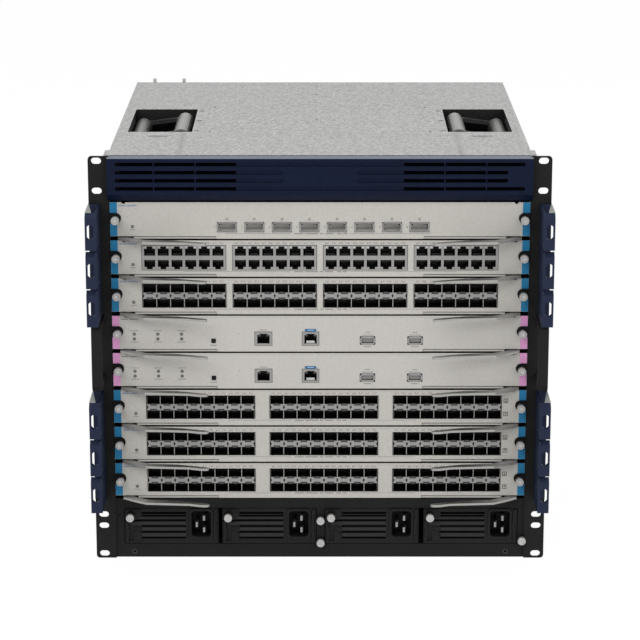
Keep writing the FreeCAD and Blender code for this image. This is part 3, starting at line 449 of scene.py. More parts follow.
# %% Black, zinc and other plain finishes
ZINC = srgb(181, 181, 180)
SHEET = dict(metal=0.2, relief=0.05, group=FLECKS)
BLACK = dict(rough=0.6, gloss=0.2)
zinc = finish("zinc_sheet", ZINC, scale=360.0, spread=0.16, **SHEET)
black = finish("black_powder_coat", grey(21), scale=420.0, spread=0.45, relief=0.35, **BLACK)
module = finish("black_module_paint", grey(23), 0.55, scale=420.0, spread=0.38, relief=0.22, gloss=0.2)
collar_black = finish("black_collar", grey(17), scale=500.0, spread=0.2, relief=0.1, **BLACK)
moulded = finish("black_moulding", grey(20), scale=500.0, spread=0.2, relief=0.12, **BLACK)
slat_grey = finish("louvre_slat", grey(42), 0.6, scale=420.0, spread=0.22, relief=0.1, gloss=0.25)
pad = finish("filter_pad", grey(9), 0.95, scale=900.0, spread=0.4, relief=0.5, gloss=0.05)
circuit = finish("green_board", srgb(34, 66, 46), 0.45, scale=200.0, spread=0.15)
# Painted shade: dark plates in pits, sockets, jack mouths, keeper dots and the seams round cage blocks.
dark = finish("painted_recess_shade", grey(9), 0.8, scale=300.0, spread=0.2, gloss=0.1)

# %% Small metal and moulded parts
nickel = finish("nickel_knob", srgb(186, 185, 183), 0.34, metal=0.5, scale=300.0, spread=0.06)
blade_metal = finish("blade_metal", srgb(158, 157, 154), 0.4, metal=0.2, scale=300.0)
contact = finish("spring_contact", srgb(58, 57, 54), 0.4, metal=0.4, scale=300.0, spread=0.10)
flat_grey = finish("flat_port_grey", srgb(126, 125, 123), 0.45, metal=0.1)
# Rivets take their own grey; the same grey, darker than the sheet, is painted shade on the dimple
# arches.
rivet_and_dimple_shade = finish("rivet_and_dimple_shade", srgb(140, 139, 137), metal=0.1, scale=500.0, spread=0.15)
tab_grey = finish("latch_tab", srgb(74, 73, 72), 0.45, metal=0.1, spread=0.10)
rim_grey = finish("rim_grey", srgb(52, 51, 50), metal=0.1, spread=0.10)
ring_black = finish("ring_black", grey(38), 0.45, scale=500.0, spread=0.15)
ring_dark = finish("lamp_ring", srgb(72, 71, 69), spread=0.10)
lens = finish("lamp_lens", srgb(186, 188, 184), 0.25, scale=300.0)
lens_dim = finish("status_lens", srgb(128, 127, 123), 0.3, spread=0.10)
slot_shadow = finish("slot_shadow", srgb(70, 70, 68), 0.7, scale=500.0, spread=0.2)
shadow_grey = finish("tab_shadow", grey(34), 0.7, spread=0.15, gloss=0.2)

# %% Labels, paint and print
PAINT = dict(scale=420.0, gloss=0.3)
LABEL = dict(scale=700.0, relief=0.05, gloss=0.25)
INK = dict(rough=0.6, scale=300.0)
strip_paint = finish("lever_seat_paint", srgb(176, 173, 168), spread=0.06, **PAINT)
# The groove grey is painted shade: the sheet paint deep in the lever groove.
groove_shade = finish("groove_shade", srgb(104, 102, 99), spread=0.10, **PAINT)
label_blue = finish("label_blue", srgb(33, 120, 166), **LABEL)
label_pink = finish("label_pink", srgb(220, 153, 202), spread=0.10, **LABEL)
ink = finish("print_grey", srgb(70, 69, 67), **INK)
ink_pale = finish("print_pale", srgb(138, 136, 132), **INK)
ink_blue = finish("print_blue", srgb(132, 146, 168), **INK)
pill_blue = finish("pill_blue", srgb(42, 98, 142), scale=500.0)
pill_ink = finish("pill_ink", srgb(150, 185, 210), scale=500.0, spread=0.05)
print("plain finishes", len(bpy.data.materials))

# %% [markdown]
# ## Finishes chosen by place
# These materials measure where a point lies, in object coordinates, and blend a second
# colour in there.  On the top sheet only the face is bright: wells, slots and holes below
# it are painted dark as shade.

# %% Place rules for sheet, fascia and gussets
SHEET_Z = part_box("top_cover")[1].z
REAR_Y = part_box("top_cover")[1].y
SIDE_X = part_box("side_panel_right")[1].x
FASCIA_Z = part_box("fascia")[1].z
SKIN_GAP = 0.0001
SHEET_WALL = 0.0015
EAR_PAINT_END = 0.012
# Painted shade streak in front of each grip tube: its line, half width, end and strength.
SHADE_STREAK_X, SHADE_STREAK_HALF, SHADE_STREAK_END, SHADE_STREAK_STRENGTH = 0.1475, 0.0055, 0.127, 0.30


def sheet_patch(x, y, z, tone):
    """Below its top face the sheet is painted dark inside as shade: wells, slots and holes.
    A faint painted shade streak, strongest on its middle line, runs from each grip tube to
    the front edge."""
    wide = abs(x)
    # Painted shade inside wells, slots and holes, below the top face.
    inner = (wide < SIDE_X - SHEET_WALL) * (y < REAR_Y - 5 * SKIN_GAP) * (z < SHEET_Z - 3 * SKIN_GAP)
    soft = (1.0 - abs(wide - SHADE_STREAK_X) / SHADE_STREAK_HALF).clamped()
    # Painted shade streak, strongest on its middle line.
    shade_streak = soft * between(y, 0.0, SHADE_STREAK_END) * (z > SHEET_Z - SKIN_GAP)
    return blend(inner, blend(shade_streak * SHADE_STREAK_STRENGTH, tone, srgb(112, 108, 102)), grey(12))


def fascia_patch(x, y, z, tone):
    """The flat top of the moulding catches the sky and reads as a pale blue grey."""
    return blend(z > FASCIA_Z - SKIN_GAP / 2, tone, srgb(121, 128, 142))


def side_patch(x, y, z, tone):
    """The side sheet is painted where it meets the ear."""
    return blend(y < EAR_PAINT_END, tone, grey(24))


def gusset_sheen_patch(level):
    """Rule for a cable guide: the thin sheet above the level takes a pale grey, a painted sheen on its
    upward faces.
    """
    def patch(x, y, z, tone):
        return blend(z > level, tone, srgb(158, 158, 156))
    return patch


# %% [markdown]
# ### Cards and their ports
# All cards are alike, so one rule serves eight of them: the height above the own slot is
# the remainder of the height divided by the card pitch.  A port is bright at its rim and
# painted dark inside as shade, and the depth decides how fast the painted shade deepens;
# wide ports take a painted highlight just inside the mouth.

# %% Place rules for cards and ports
PIN_DROP = 0.0002
CARD_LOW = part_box("card_8")[0].z + PIN_DROP
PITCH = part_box("card_1")[0].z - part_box("card_2")[0].z
SKIN_BACK, COLLAR_BACK = -0.0029, -0.00306
# Bands of painted shade on the card skin: a crease line, the folds at both edges and the gap behind the
# skin.
CREASE_SHADE = (0.0378, 0.0384)
FOLD_SHADE = (0.00092, 0.03995)
TRAY_SHADE = (-0.0014, 0.012)
SCREW_SIDE, SLEEVE_END = 0.206, -0.0130
# Fronts of the ports and of the painted light inside their mouths.
PORT_FRONT, MOUTH_LIGHT_FRONT = -0.0031, -0.0024


def height_in_slot(z):
    """Height above the bottom of the own card slot, in metres."""
    return (z - CARD_LOW) % PITCH


def face_patch(x, y, z, tone):
    """Paint on the front skin, with painted shade in a crease near the upper fold, on the folds
    and in the gaps behind the skin, dark collars in front, and bare metal further back."""
    h = height_in_slot(z)
    # Painted shade in the crease, on the folds and behind the skin.
    tone = blend(between(h, *CREASE_SHADE) * (y < SKIN_BACK) * 0.35, tone, srgb(120, 118, 114))
    tone = blend((h < FOLD_SHADE[0]) + (h > FOLD_SHADE[1]), tone, grey(16))
    tone = blend(between(y, *TRAY_SHADE), tone, grey(14))
    tone = blend(y > TRAY_SHADE[1], tone, srgb(150, 150, 148))
    return blend(y < COLLAR_BACK, tone, grey(17))


def port_patch(depth, mouth_light, deep):
    """Rule for ports and screws: just inside, mouths take the given colour of painted light,
    and over the given depth they turn to the deep colour, painted shade; knob sleeves are dark
    up to the head."""
    def patch(x, y, z, tone):
        screw = abs(x) > SCREW_SIDE
        port = 1.0 - screw
        tone = blend((y > MOUTH_LIGHT_FRONT) * port, tone, mouth_light)
        tone = blend(((y - PORT_FRONT) / depth).clamped() * port, tone, deep)
        return blend((y > SLEEVE_END) * screw, tone, grey(24))
    return patch


# %% [markdown]
# ### Levers and lifting handles
# Polished steel shows the room.  A blade is dark on its broad top and bright at its edge,
# and a tube is bright along its crest and dark at both sides.  Reflections alone would
# give this only with a matching room, so the rule paints the broad tones in.

# %% Place rules for levers and lifting handles
BLADE_TOP, BLADE_MIDDLE, BLADE_HALF = 0.00235, 0.150, 0.042
PIVOT_TUBE, GRIP_TUBE, TUBE_R = 0.1998, 0.1527, 0.0098
TUBE_SHADOW = ((GRIP_TUBE, 0.85), (PIVOT_TUBE, 0.95))
LINK_SPAN = (0.1625, 0.1900)
LINK_TOP, LINK_RISE, LINK_EDGE = 0.4315, 0.0060, 0.0045


def lever_patch(x, y, z, tone):
    """The top of the blade is dark in its middle; the ground edge and both ends stay
    bright."""
    middle = (1.0 - abs(abs(x) - BLADE_MIDDLE) / BLADE_HALF).clamped()
    return blend((height_in_slot(z) > BLADE_TOP) * (middle * 1.3).clamped(), tone, srgb(78, 77, 75))


def tube_patch(x, y, z, tone):
    """Each tube darkens to its sides, by a power of the distance from its axis.  Only the
    top edge of the links catches light: it rises in a straight line to the grip."""
    wide = abs(x)
    for axis, strength in TUBE_SHADOW:
        away = (abs(wide - axis) / TUBE_R).clamped()
        tone = blend(away ** 1.6 * (away < 0.999) * strength, tone, grey(34))
    # Painted shade: the pivot tube and all beyond it are a little darker.
    tone = blend((wide > LINK_SPAN[1]) * 0.35, tone, grey(60))
    along = (PIVOT_TUBE - wide) / (PIVOT_TUBE - GRIP_TUBE)
    edge = along * LINK_RISE + (LINK_TOP - LINK_EDGE)
    link = blend(z - edge > 0.0, grey(14), srgb(84, 84, 83))
    return blend(between(wide, *LINK_SPAN), tone, link)


# %% Finishes made with the rules
# Painted light in the port mouths: a shade for small ports, a pale highlight for wide ports.
PORT_GREY, MOUTH_SHADE, MOUTH_HIGHLIGHT = srgb(152, 151, 149), srgb(120, 119, 117), srgb(242, 241, 238)
SHALLOW, DEEP = 0.0004, 0.06
PORT = dict(rough=0.42, metal=0.3)
top_sheet = finish("zinc_top_sheet", ZINC, scale=520.0, spread=0.20, patch=sheet_patch, **SHEET)
side_sheet = finish("zinc_side_sheet", ZINC, scale=360.0, spread=0.16, patch=side_patch, **SHEET)
fascia_navy = finish("navy_fascia", srgb(13, 22, 45), scale=420.0, spread=0.30, relief=0.08,
                     gloss=0.10, patch=fascia_patch)
paint_line = finish("warm_grey_paint", srgb(189, 186, 180), spread=0.06, patch=face_patch, **PAINT)
paint_control = finish("light_grey_paint", srgb(192, 189, 184), spread=0.05, patch=face_patch, **PAINT)
ports_metal = finish("ports_and_screws", PORT_GREY, patch=port_patch(SHALLOW, MOUTH_SHADE, grey(7)), **PORT)
jack_metal = finish("jack_metal", PORT_GREY, patch=port_patch(SHALLOW, MOUTH_SHADE, grey(34)), **PORT)
wide_metal = finish("wide_port_metal", srgb(168, 167, 165), patch=port_patch(DEEP, MOUTH_HIGHLIGHT, grey(7)),
                    **PORT)
lever_steel = finish("lever_steel", srgb(167, 166, 163), 0.36, metal=0.4, scale=300.0, spread=0.06,
                     patch=lever_patch)
polished = finish("polished_tube", srgb(198, 198, 196), 0.30, metal=0.7, scale=200.0, spread=0.05,
                  patch=tube_patch)

# %% Finishes on the frame's solids
GUSSET_SHEET = 0.0009
SIDES = ("left", "right")
SKIN = {"base_plate": black, "top_cover": top_sheet, "front_frame": black, "rear_panel": zinc,
        "card_guides": moulded, "midplane": circuit, "fascia": fascia_navy, "air_filter": pad}
for level in ("upper", "lower"):
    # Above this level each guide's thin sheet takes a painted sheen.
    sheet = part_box("cable_guide_%s_left" % level)[1].z - GUSSET_SHEET
    guide = finish("navy_guide_" + level, srgb(28, 36, 60), scale=500.0, spread=0.10, relief=0.08,
                   gloss=0.2, patch=gusset_sheen_patch(sheet))
    SKIN.update({"cable_guide_%s_%s" % (level, word): guide for word in SIDES})
for kind, coat in (("side_panel", side_sheet), ("rack_ear", black), ("carry_handle", black),
                     ("lift_handle", polished), ("fan_tray", module), ("fan_rotor", moulded)):
    SKIN.update({"%s_%s" % (kind, word): coat for word in SIDES})
for n in range(1, 5):
    SKIN["psu_%d" % n] = module
for n in range(1, 9):
    SKIN["card_%d" % n] = paint_control if n in (4, 5) else paint_line
    SKIN["card_%d_hardware" % n] = {1: wide_metal, 2: jack_metal}.get(n, ports_metal)
    SKIN.update({"card_%d_lever_%s" % (n, word): lever_steel for word in SIDES})
for name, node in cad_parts.items():
    node.data.materials.clear()
    node.data.materials.append(SKIN[name])
    node.data.polygons.foreach_set("use_smooth", np.zeros(len(node.data.polygons), bool))
print("finishes on", len(SKIN), "solids")

# %% [markdown]
# ## Ends of the cards
# Every card has a coloured strip at both ends, blue on line cards and pink on the two
# control cards.  A black collar crosses it and holds the captive thumbscrew.  Its head is
# turned here with more sides than the solid has, because it catches the light.

# %% Sizes shared by the cards, in mm
FACE = -3.0
SEAT = 0.05
HALF_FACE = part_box("card_1")[1].x / MM
SCREW_X, SCREW_Z = HALF_FACE - 6.0, 23.0
CARDS = range(1, 9)
CONTROL = (4, 5)


def card_base(n):
    """Height of a card slot in mm: the lever pins reach a little below it."""
    return (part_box("card_%d" % n)[0].z + PIN_DROP) / MM


def at(z, span):
    """A pair of heights, counted from z."""
    return z + span[0], z + span[1]


def fitter(kind, usual):
    """Function that gathers shapes into one piece and lets it ride on a numbered body of
    one kind; the slot, the usual one or another given, is not used."""
    def fit(n, what, shapes, material, slot=usual, smooth=False):
        body = "%s_%d" % (kind, n)
        put(body + "_" + what, gather(shapes), body, material, smooth)
    return fit


def on_face(outline, out, deep=SEAT, bevel=0.0):
    """Plate from one distance in front of the card face to another behind it."""
    return plate(outline, FACE - out, FACE + deep, bevel)


def frame_plate(x0, x1, z0, z1, wide, out, deep=SEAT):
    """Flat picture frame on the card face: four bars around an open middle."""
    sides = ((x0, x1, z1 - wide, z1), (x0, x1, z0, z0 + wide), (x0, x0 + wide, z0 + wide, z1 - wide),
             (x1 - wide, x1, z0 + wide, z1 - wide))
    return gather([on_face(oblong(*side), out, deep) for side in sides])


on_card = fitter("card", "card_face")

# %% Strips, collars and screw heads
STRIP_Z, STRIP_OUT, STRIP_CORNER = (3.9, 39.9), 0.2, 0.8
STRIP_INSIDE, STRIP_EDGE = 1.6, 0.1
COLLAR_R, COLLAR_OUT, COLLAR_BEVEL = 5.7, 1.75, 0.25
KNOB_R, KNOB_SIDES, KNURL = 4.45, 40, 0.015
CARD_KNOB_OUT = 15.05
# Radius and depth of a screw head, from its neck over the knurled rim to the dish in front.
HEAD = [(3.0, 5.2), (4.2, 5.0), (KNOB_R, 4.7), (KNOB_R, 0.9), (4.1, 0.25), (3.2, 0.0), (2.9, 0.25),
        (1.2, 0.35), (0.5, 0.3)]


def collar(side, z):
    """Tongue from the face edge that ends in a half circle round the screw."""
    a = np.linspace(-math.pi / 2, math.pi / 2, 17)
    edge = side * (HALF_FACE - SEAT)
    arc = np.column_stack([side * (SCREW_X - COLLAR_R * np.cos(a)), z + COLLAR_R * np.sin(a)])
    outline = np.vstack([arc, [(edge, z + COLLAR_R), (edge, z - COLLAR_R)]])
    return on_face(outline, COLLAR_OUT, SEAT, COLLAR_BEVEL)


def knob(x, front, z):
    """Knurled head with a bevelled rim and a shallow dish."""
    return turned(HEAD, (x, front, z), KNOB_SIDES, KNURL)


for n in CARDS:
    z = card_base(n)
    ends = [sorted((s * (SCREW_X - STRIP_INSIDE), s * (HALF_FACE - STRIP_EDGE))) for s in (-1, 1)]
    strips = [on_face(rounded(a, b, *at(z, STRIP_Z), STRIP_CORNER), STRIP_OUT) for a, b in ends]
    on_card(n, "strips", strips, label_pink if n in CONTROL else label_blue)
    on_card(n, "collars", [collar(s, z + SCREW_Z) for s in (-1, 1)], collar_black)
    heads = [knob(s * SCREW_X, FACE - CARD_KNOB_OUT, z + SCREW_Z) for s in (-1, 1)]
    on_card(n, "screw_heads", heads, nickel, "port_metal", True)
print("card pitch", round(PITCH / MM, 2), "mm")

# %% [markdown]
# ## Lever seats
# Each ejector lever closes against the lower edge of its card.  A folded strip of sheet
# shows in the notch there, and a groove runs above it, where the blade lies when shut.
# Two thin bars are enough, because only their front edges can be seen.

# %% Folded strips in the lever notches
NOTCH = (109.0, 194.5)
SEAT_Z, GROOVE_Z = (1.0, 2.75), (2.8, 3.7)
for n in CARDS:
    z = card_base(n)
    spans = [sorted((s * NOTCH[0], s * NOTCH[1])) for s in (-1, 1)]
    seats = [on_face(oblong(a, b, *at(z, SEAT_Z)), -0.15, 1.2, 0.2) for a, b in spans]
    on_card(n, "lever_seats", seats, strip_paint)
    # The groove bars are painted shade in the groove above each seat.
    grooves = [on_face(oblong(a, b, *at(z, GROOVE_Z)), -1.0, 1.35) for a, b in spans]
    on_card(n, "lever_grooves", grooves, groove_shade)
print("lever seats", 2 * len(CARDS))

# %% [markdown]
# ## Marks on the cards
# The print beside each port is a number and a small arrow.  It could be a texture, but
# flat letters from the built-in font stay sharp at any distance and need no image.  Each
# string is turned into a mesh once and then copied as an array of points.

# %% Flat letters
PRINT, ROOT = 0.08, 0.02
GLYPHS = {}


def glyph(text):
    """Points (x, z) and faces of a string one unit high, centred on the origin."""
    if text not in GLYPHS:
        curve = bpy.data.curves.new("glyph", "FONT")
        curve.body = text
        curve.resolution_u = 2
        holder = bpy.data.objects.new("glyph", curve)
        mesh = holder.to_mesh()
        flat = np.zeros(len(mesh.vertices) * 3)
        mesh.vertices.foreach_get("co", flat)
        flat = flat.reshape(-1, 3)[:, :2]
        faces = [list(face.vertices) for face in mesh.polygons]
        holder.to_mesh_clear()
        bpy.data.objects.remove(holder)
        bpy.data.curves.remove(curve)
        low, high = flat.min(0), flat.max(0)
        GLYPHS[text] = ((flat - (low + high) / 2) / (high[1] - low[1]), faces)
    return GLYPHS[text]


def number(text, x, z, height):
    """Thin print of a string: its flat mesh scaled and set just in front of the paint."""
    flat, faces = glyph(text)
    front = np.full(len(flat), FACE - PRINT)
    return np.column_stack([x + flat[:, 0] * height, front, z + flat[:, 1] * height]), faces


# %% Printed bars, arrows and frames
def print_bar(x0, x1, z0, z1):
    """Printed rectangle."""
    return on_face(oblong(x0, x1, z0, z1), PRINT, ROOT)


def legend(x0, x1, z, half=0.4):
    """Bar that stands in for a line of small print."""
    return print_bar(x0, x1, z - half, z + half)


def arrow(x, z, size, up):
    """Small triangle that points to the upper or the lower row."""
    s = size / 2 if up else -size / 2
    o = np.array([(x - size / 2, z - s), (x + size / 2, z - s), (x, z + s)])
    return on_face(o, PRINT, ROOT)


CAPTION_GAP = 31.0
CAPTION_WORDS = ((-27.0, -17.5), (-15.6, -2.0), (0.0, 3.6), (5.4, 14.0), (18.0, 22.4), (24.0, 28.4))


def caption_line(x0, x1, z):
    """Fine printed line under a row of ports, with a caption stand-in in its middle."""
    lines = [print_bar(x0, -CAPTION_GAP, z, z + 0.4), print_bar(CAPTION_GAP, x1, z, z + 0.4)]
    return lines + [print_bar(a, b, z - 0.45, z + 0.65) for a, b in CAPTION_WORDS]


# %% [markdown]
# ## Port rows
# The blocks of jacks and cages are in the solids.  What makes them look real is small:
# lamp windows, spring contacts, latch bands and the dark seam round each block.  They are
# placed by a formula from the width of a block and its number of columns.

# %% Places of the ports
def row_of_blocks(first, width, pitch, count):
    """Left and right edge of each block in a row."""
    return [(first + i * pitch, first + width + i * pitch) for i in range(count)]


SIX = row_of_blocks(first=-186.6, width=87.79, pitch=95.14, count=4)
EIGHT = row_of_blocks(first=-184.5, width=115.1, pitch=131.2, count=3)
JACK_Z = (8.28, 34.48)
CAGE_Z = (8.7, 33.6)
JACK_RIM, CAGE_RIM = 1.9, 0.4


def columns(span, count, rim):
    """Middle of each column of a block."""
    pitch = (span[1] - span[0] - rim) / count
    return span[0] + rim / 2 + pitch * (np.arange(count) + 0.5)


def seam(span, z0, z1, grow=0.55, wide=0.5):
    """Thin dark outline where a block passes through the faceplate."""
    return frame_plate(span[0] - grow, span[1] + grow, z0 - grow, z1 + grow, wide, 0.12)


def marks_over(spans, count, z):
    """Two numbers and two arrows over each column."""
    middles = np.concatenate([columns(span, count, CAGE_RIM) for span in spans])
    shapes = []
    for k, cx in enumerate(middles):
        shapes += [arrow(cx - 5.1, z, 1.3, True), number(str(2 * k + 1), cx - 2.9, z, 1.6),
                   arrow(cx + 1.7, z, 1.3, False), number(str(2 * k + 2), cx + 4.1, z, 1.6)]
    return shapes


# %% [markdown]
# ### Copper jacks
# Each column holds two jacks, one upside down, so that both latches are near the rims.
# Two small windows over the pair show its lamps, and eight sprung wires lie in each mouth,
# so thin that plain bars look the same as bent ones.

# %% Windows and wires of the jacks
WINDOW_X, WINDOW_HALF, WINDOW_Z = 4.55, 1.15, (31.7, 33.6)
WIRE_HALF, WIRE_PITCH, WIRES = 0.2, 1.02, 8
WIRE_ROWS = ((24.0, 25.8), (17.0, 18.8))


def lamp_window(cx, z):
    """Small clear pane in the top rim of a jack pair."""
    pane = rounded(cx - WINDOW_HALF, cx + WINDOW_HALF, *at(z, WINDOW_Z), 0.3, 2)
    return on_face(pane, 0.75, -0.5)


def contact_comb(x, z0, z1):
    """Eight spring wires side by side, one wire copied by an array of eight offsets."""
    places = [(x + (i - (WIRES - 1) / 2) * WIRE_PITCH, 0, 0) for i in range(WIRES)]
    return stamp(on_face(oblong(-WIRE_HALF, WIRE_HALF, z0, z1), -1.6, 2.4), places)


z = card_base(2)
middles = np.concatenate([columns(span, 6, JACK_RIM) for span in SIX])
windows = [lamp_window(cx + s * WINDOW_X, z) for cx in middles for s in (-1, 1)]
on_card(2, "lamp_windows", windows, lens, "guide_plastic")
combs = [contact_comb(cx, z + a, z + b) for cx in middles for a, b in WIRE_ROWS]
on_card(2, "contacts", combs, contact, "port_metal")
on_card(2, "seams", [seam(s, *at(z, JACK_Z)) for s in SIX], ink)
on_card(2, "numbers", marks_over(SIX, 6, z + 37.0), ink)
print("jack columns", len(middles))

# %% [markdown]
# ## Latch bands
# Between the two rows of cages runs a bright band.  Each cage has a spring tab that bends
# into its mouth, with a shadow line behind it, and the cages meet at a dark pinched spot.
# Each of the three is a small flat outline, because there are so many of them.

# %% Tabs, shadow lines and pinched spots
BAND_HALF = 6.75 / 2
MIDDLE_BAND = sum(CAGE_Z) / 2
TAB = np.array([(-3.0, -0.9), (3.0, -0.9), (2.2, 0.8), (-2.2, 0.8)])
SHADOW = np.array([(-3.9, -1.5), (3.9, -1.5), (3.0, 0.0), (-3.0, 0.0)])
PINCH = np.array([(-1.2, 0.0), (0.0, -2.4), (1.2, 0.0), (0.0, 2.4)])


def on_band(outline, x, z, way, out, bevel=0.0):
    """Thin plate at a place on the band; way -1 turns its outline upside down."""
    return on_face(outline * (1, way) + (x, z), out, -0.4, bevel)


# %% Cage rows
RIM_GROW, RIM_WIDE = 0.35, 0.72
for n, spans, count in ((3, SIX, 6), (6, EIGHT, 8), (7, EIGHT, 8), (8, EIGHT, 8)):
    z = card_base(n)
    mid = z + MIDDLE_BAND
    middles = np.concatenate([columns(span, count, CAGE_RIM) for span in spans])
    meets = np.concatenate([np.linspace(a + 0.7, b - 0.7, count + 1) for a, b in spans])
    edges = [(cx, mid + way * BAND_HALF, way) for cx in middles for way in (-1, 1)]
    tabs = [on_band(TAB, *place, 0.85, 0.15) for place in edges]
    on_card(n, "tabs", tabs, tab_grey, "port_metal")
    shadows = [on_band(SHADOW, *place, 0.66) for place in edges]
    shadows += [on_band(PINCH, x, mid, 1, 0.68) for x in meets]
    on_card(n, "tab_shadows", shadows, shadow_grey, "port_metal")
    # The cage rims are painted shade in the seam round each block.
    rims = [frame_plate(a - RIM_GROW, b + RIM_GROW, z + CAGE_Z[0] - RIM_GROW, z + CAGE_Z[1] + RIM_GROW,
                        RIM_WIDE, 0.66) for a, b in spans]
    on_card(n, "rims", rims, dark, "port_metal")
    on_card(n, "numbers", marks_over(spans, count, z + 36.4), ink)
print("latch tabs per card", len(edges))

# %% [markdown]
# ## Row markers and wide ports
# The denser cards carry two boxed arrows at their right end, one for each row.  The card
# with wide ports has a mark over and beside every port, and a dark rim round each one.
# All are flat print or thin frames, so bars and outlines are enough.

# %% Boxed arrows
BOX_X, BOX_SIZE, BOX_LINE = 195.3, 4.8, 0.7
for n in (6, 7, 8):
    shapes = []
    for low, up in ((25.6, True), (11.2, False)):
        z = card_base(n) + low
        shapes += [frame_plate(BOX_X, BOX_X + BOX_SIZE, z, z + BOX_SIZE, BOX_LINE, PRINT, ROOT),
                   arrow(BOX_X + BOX_SIZE / 2, z + BOX_SIZE / 2, 2.4, up)]
    on_card(n, "row_marks", shapes, ink)

# %% Wide ports
WIDE = -97.3 + 28.75 * np.arange(8)
WIDE_HALF, WIDE_Z, WIDE_RIM = 10.2, (8.1, 18.15), 1.25
KEEPER_X, KEEPER_Z, KEEPER_R = 7.7, 16.2, 0.75
DIAMOND = np.array([(0, -1.6), (1.6, 0), (0, 1.6), (-1.6, 0)])


def ring_mark(x, z):
    """Printed diamond outline: four thin bars between an outer and an inner diamond."""
    turned_by_one = np.roll(DIAMOND, -1, axis=0)
    return gather([on_face(np.array([a, b, b * 0.6, a * 0.6]) + (x, z), PRINT, ROOT)
                   for a, b in zip(DIAMOND, turned_by_one)])


z = card_base(1)
rims = [frame_plate(cx - WIDE_HALF, cx + WIDE_HALF, *at(z, WIDE_Z), WIDE_RIM, 0.68)
        for cx in WIDE]
# The keeper dots are dark discs of painted shade.
dots = [on_face(disc(cx + s * KEEPER_X, z + KEEPER_Z, KEEPER_R, 8), -0.4, 0.8)
        for cx in WIDE for s in (-1, 1)]
marks = []
for k, cx in enumerate(WIDE):
    marks += [ring_mark(cx, z + 22.0), number(str(k + 1), cx - 13.0, z + 13.4, 2.0)]
on_card(1, "port_seams", rims, rim_grey)
on_card(1, "keeper_dots", dots, dark, "port_metal")
on_card(1, "marks", marks, ink)

# %% Captions
SIX_LINE, EIGHT_LINE = (-143.0, 143.5), (-98.0, 102.0)
CAPTIONS = {1: (-98.3, 115.5), 2: SIX_LINE, 3: SIX_LINE, 6: EIGHT_LINE, 7: EIGHT_LINE, 8: EIGHT_LINE}
for n, (x0, x1) in CAPTIONS.items():
    on_card(n, "caption_line", caption_line(x0, x1, card_base(n) + 6.3), ink_pale)
print("wide ports", len(WIDE))

# %% [markdown]
# ## Lamps
# Every card has a status lamp at its left end, a small lens in a dark ring; the control
# cards have six.  A ring and its lens could be printed dots, but turned parts catch the
# light on their rounded edges and stay round when seen close.

# %% Status lamps
RING = [(1.75, 0.35), (1.75, 0.0), (1.45, -0.1), (1.05, 0.0), (1.05, 0.35)]
LENS = [(0.95, 0.3), (0.95, -0.05), (0.5, -0.2)]
LAMP_OUT = 0.1
LAMP_X = (-196.2, -171.3, -146.2)
NAME_Z, NAME_WORDS = (35.6, 37.0), ((-210.3, -202.4), (-201.5, -191.0))
TICKS = ((-194.0, 33.0), (-202.4, 24.6))
for n in CARDS:
    z = card_base(n)
    if n in CONTROL:
        places = [(x, FACE - LAMP_OUT, z + h) for x in LAMP_X for h in (20.0, 14.7)]
        bars = [legend(x - 4.4, x + 4.4, z + h) for x in LAMP_X for h in (23.6, 11.3)]
    else:
        places = [(-196.0, FACE - LAMP_OUT, z + 14.0)]
        bars = [legend(-199.0, -193.0, z + 10.6)]
    on_card(n, "lamp_rings", [turned(RING, place, 16) for place in places], ring_dark, smooth=True)
    on_card(n, "lamps", [turned(LENS, place, 12) for place in places], lens_dim, "guide_plastic", True)
    bars += [print_bar(x, x + 1.4, z + h, z + h + 0.5) for x, h in TICKS]
    on_card(n, "legends", bars, ink_pale)
    names = [print_bar(a, b, *at(z, NAME_Z)) for a, b in NAME_WORDS]
    on_card(n, "plate_line", names, ink_pale if n in CONTROL else ink_blue)
print("lamps on a control card", 2 * len(LAMP_X))

# %% [markdown]
# ## Service ports of the control cards
# A control card has a network jack, a console jack with a blue label, two flat ports and
# a push button.  The mouths are open in the solids; frames, rims with a step for the
# latch and a small lever are set on them.

# %% Jacks and the blue label
NETWORK_X, CONSOLE_X = -59.8, -10.0
JACK_FRAME_Z, MOUTH_Z = (7.4, 22.8), 9.9
# Left half of a mouth's rim: out and up the side, over the step, down the inside.
ARCH = [(-6.5, -0.3), (-5.8, -0.3), (-5.8, 8.6), (-3.0, 8.6), (-3.0, 10.4), (-3.9, 10.4), (-4.6, 9.5),
        (-6.5, 9.2)]
HOOK_X, HOOK_Z = (-14.4, -5.6), (10.2, 12.9)
PILL_X, PILL_Z, PILL_CORNER = (-16.2, -3.7), (22.95, 25.75), 1.39
WORDS_X, WORDS_Z = (-13.4, -6.5), (23.9, 24.8)


def arch_rim(x, z0):
    """Rim of painted shade round a jack mouth: the left outline and its mirror image."""
    left = np.array(ARCH)
    right = left[::-1] * (-1, 1)
    return gather([on_face(o + (x, z0), 0.68, -0.3) for o in (left, right)])


def service_jacks(n, z):
    """Frames and rims of the two jacks."""
    frames = [frame_plate(x - w, x + w, *at(z, JACK_FRAME_Z), 0.6, 0.25)
              for x, w in ((NETWORK_X, 9.4), (CONSOLE_X, 9.15))]
    on_card(n, "jack_seams", frames, ring_dark)
    mouths = [arch_rim(x, z + MOUTH_Z) for x in (NETWORK_X, CONSOLE_X)]
    on_card(n, "jack_mouths", mouths, dark, "port_metal")


# %% Button, flat ports and small print
BUTTON = [(2.35, 0.2), (2.35, -0.9), (1.9, -1.25), (0.6, -1.3)]
BUTTON_X, BUTTON_Z = -112.5, 12.6
FLAT_X, FLAT_HALF, FLAT_Z = (50.3, 100.5), 6.1, (10.4, 15.4)


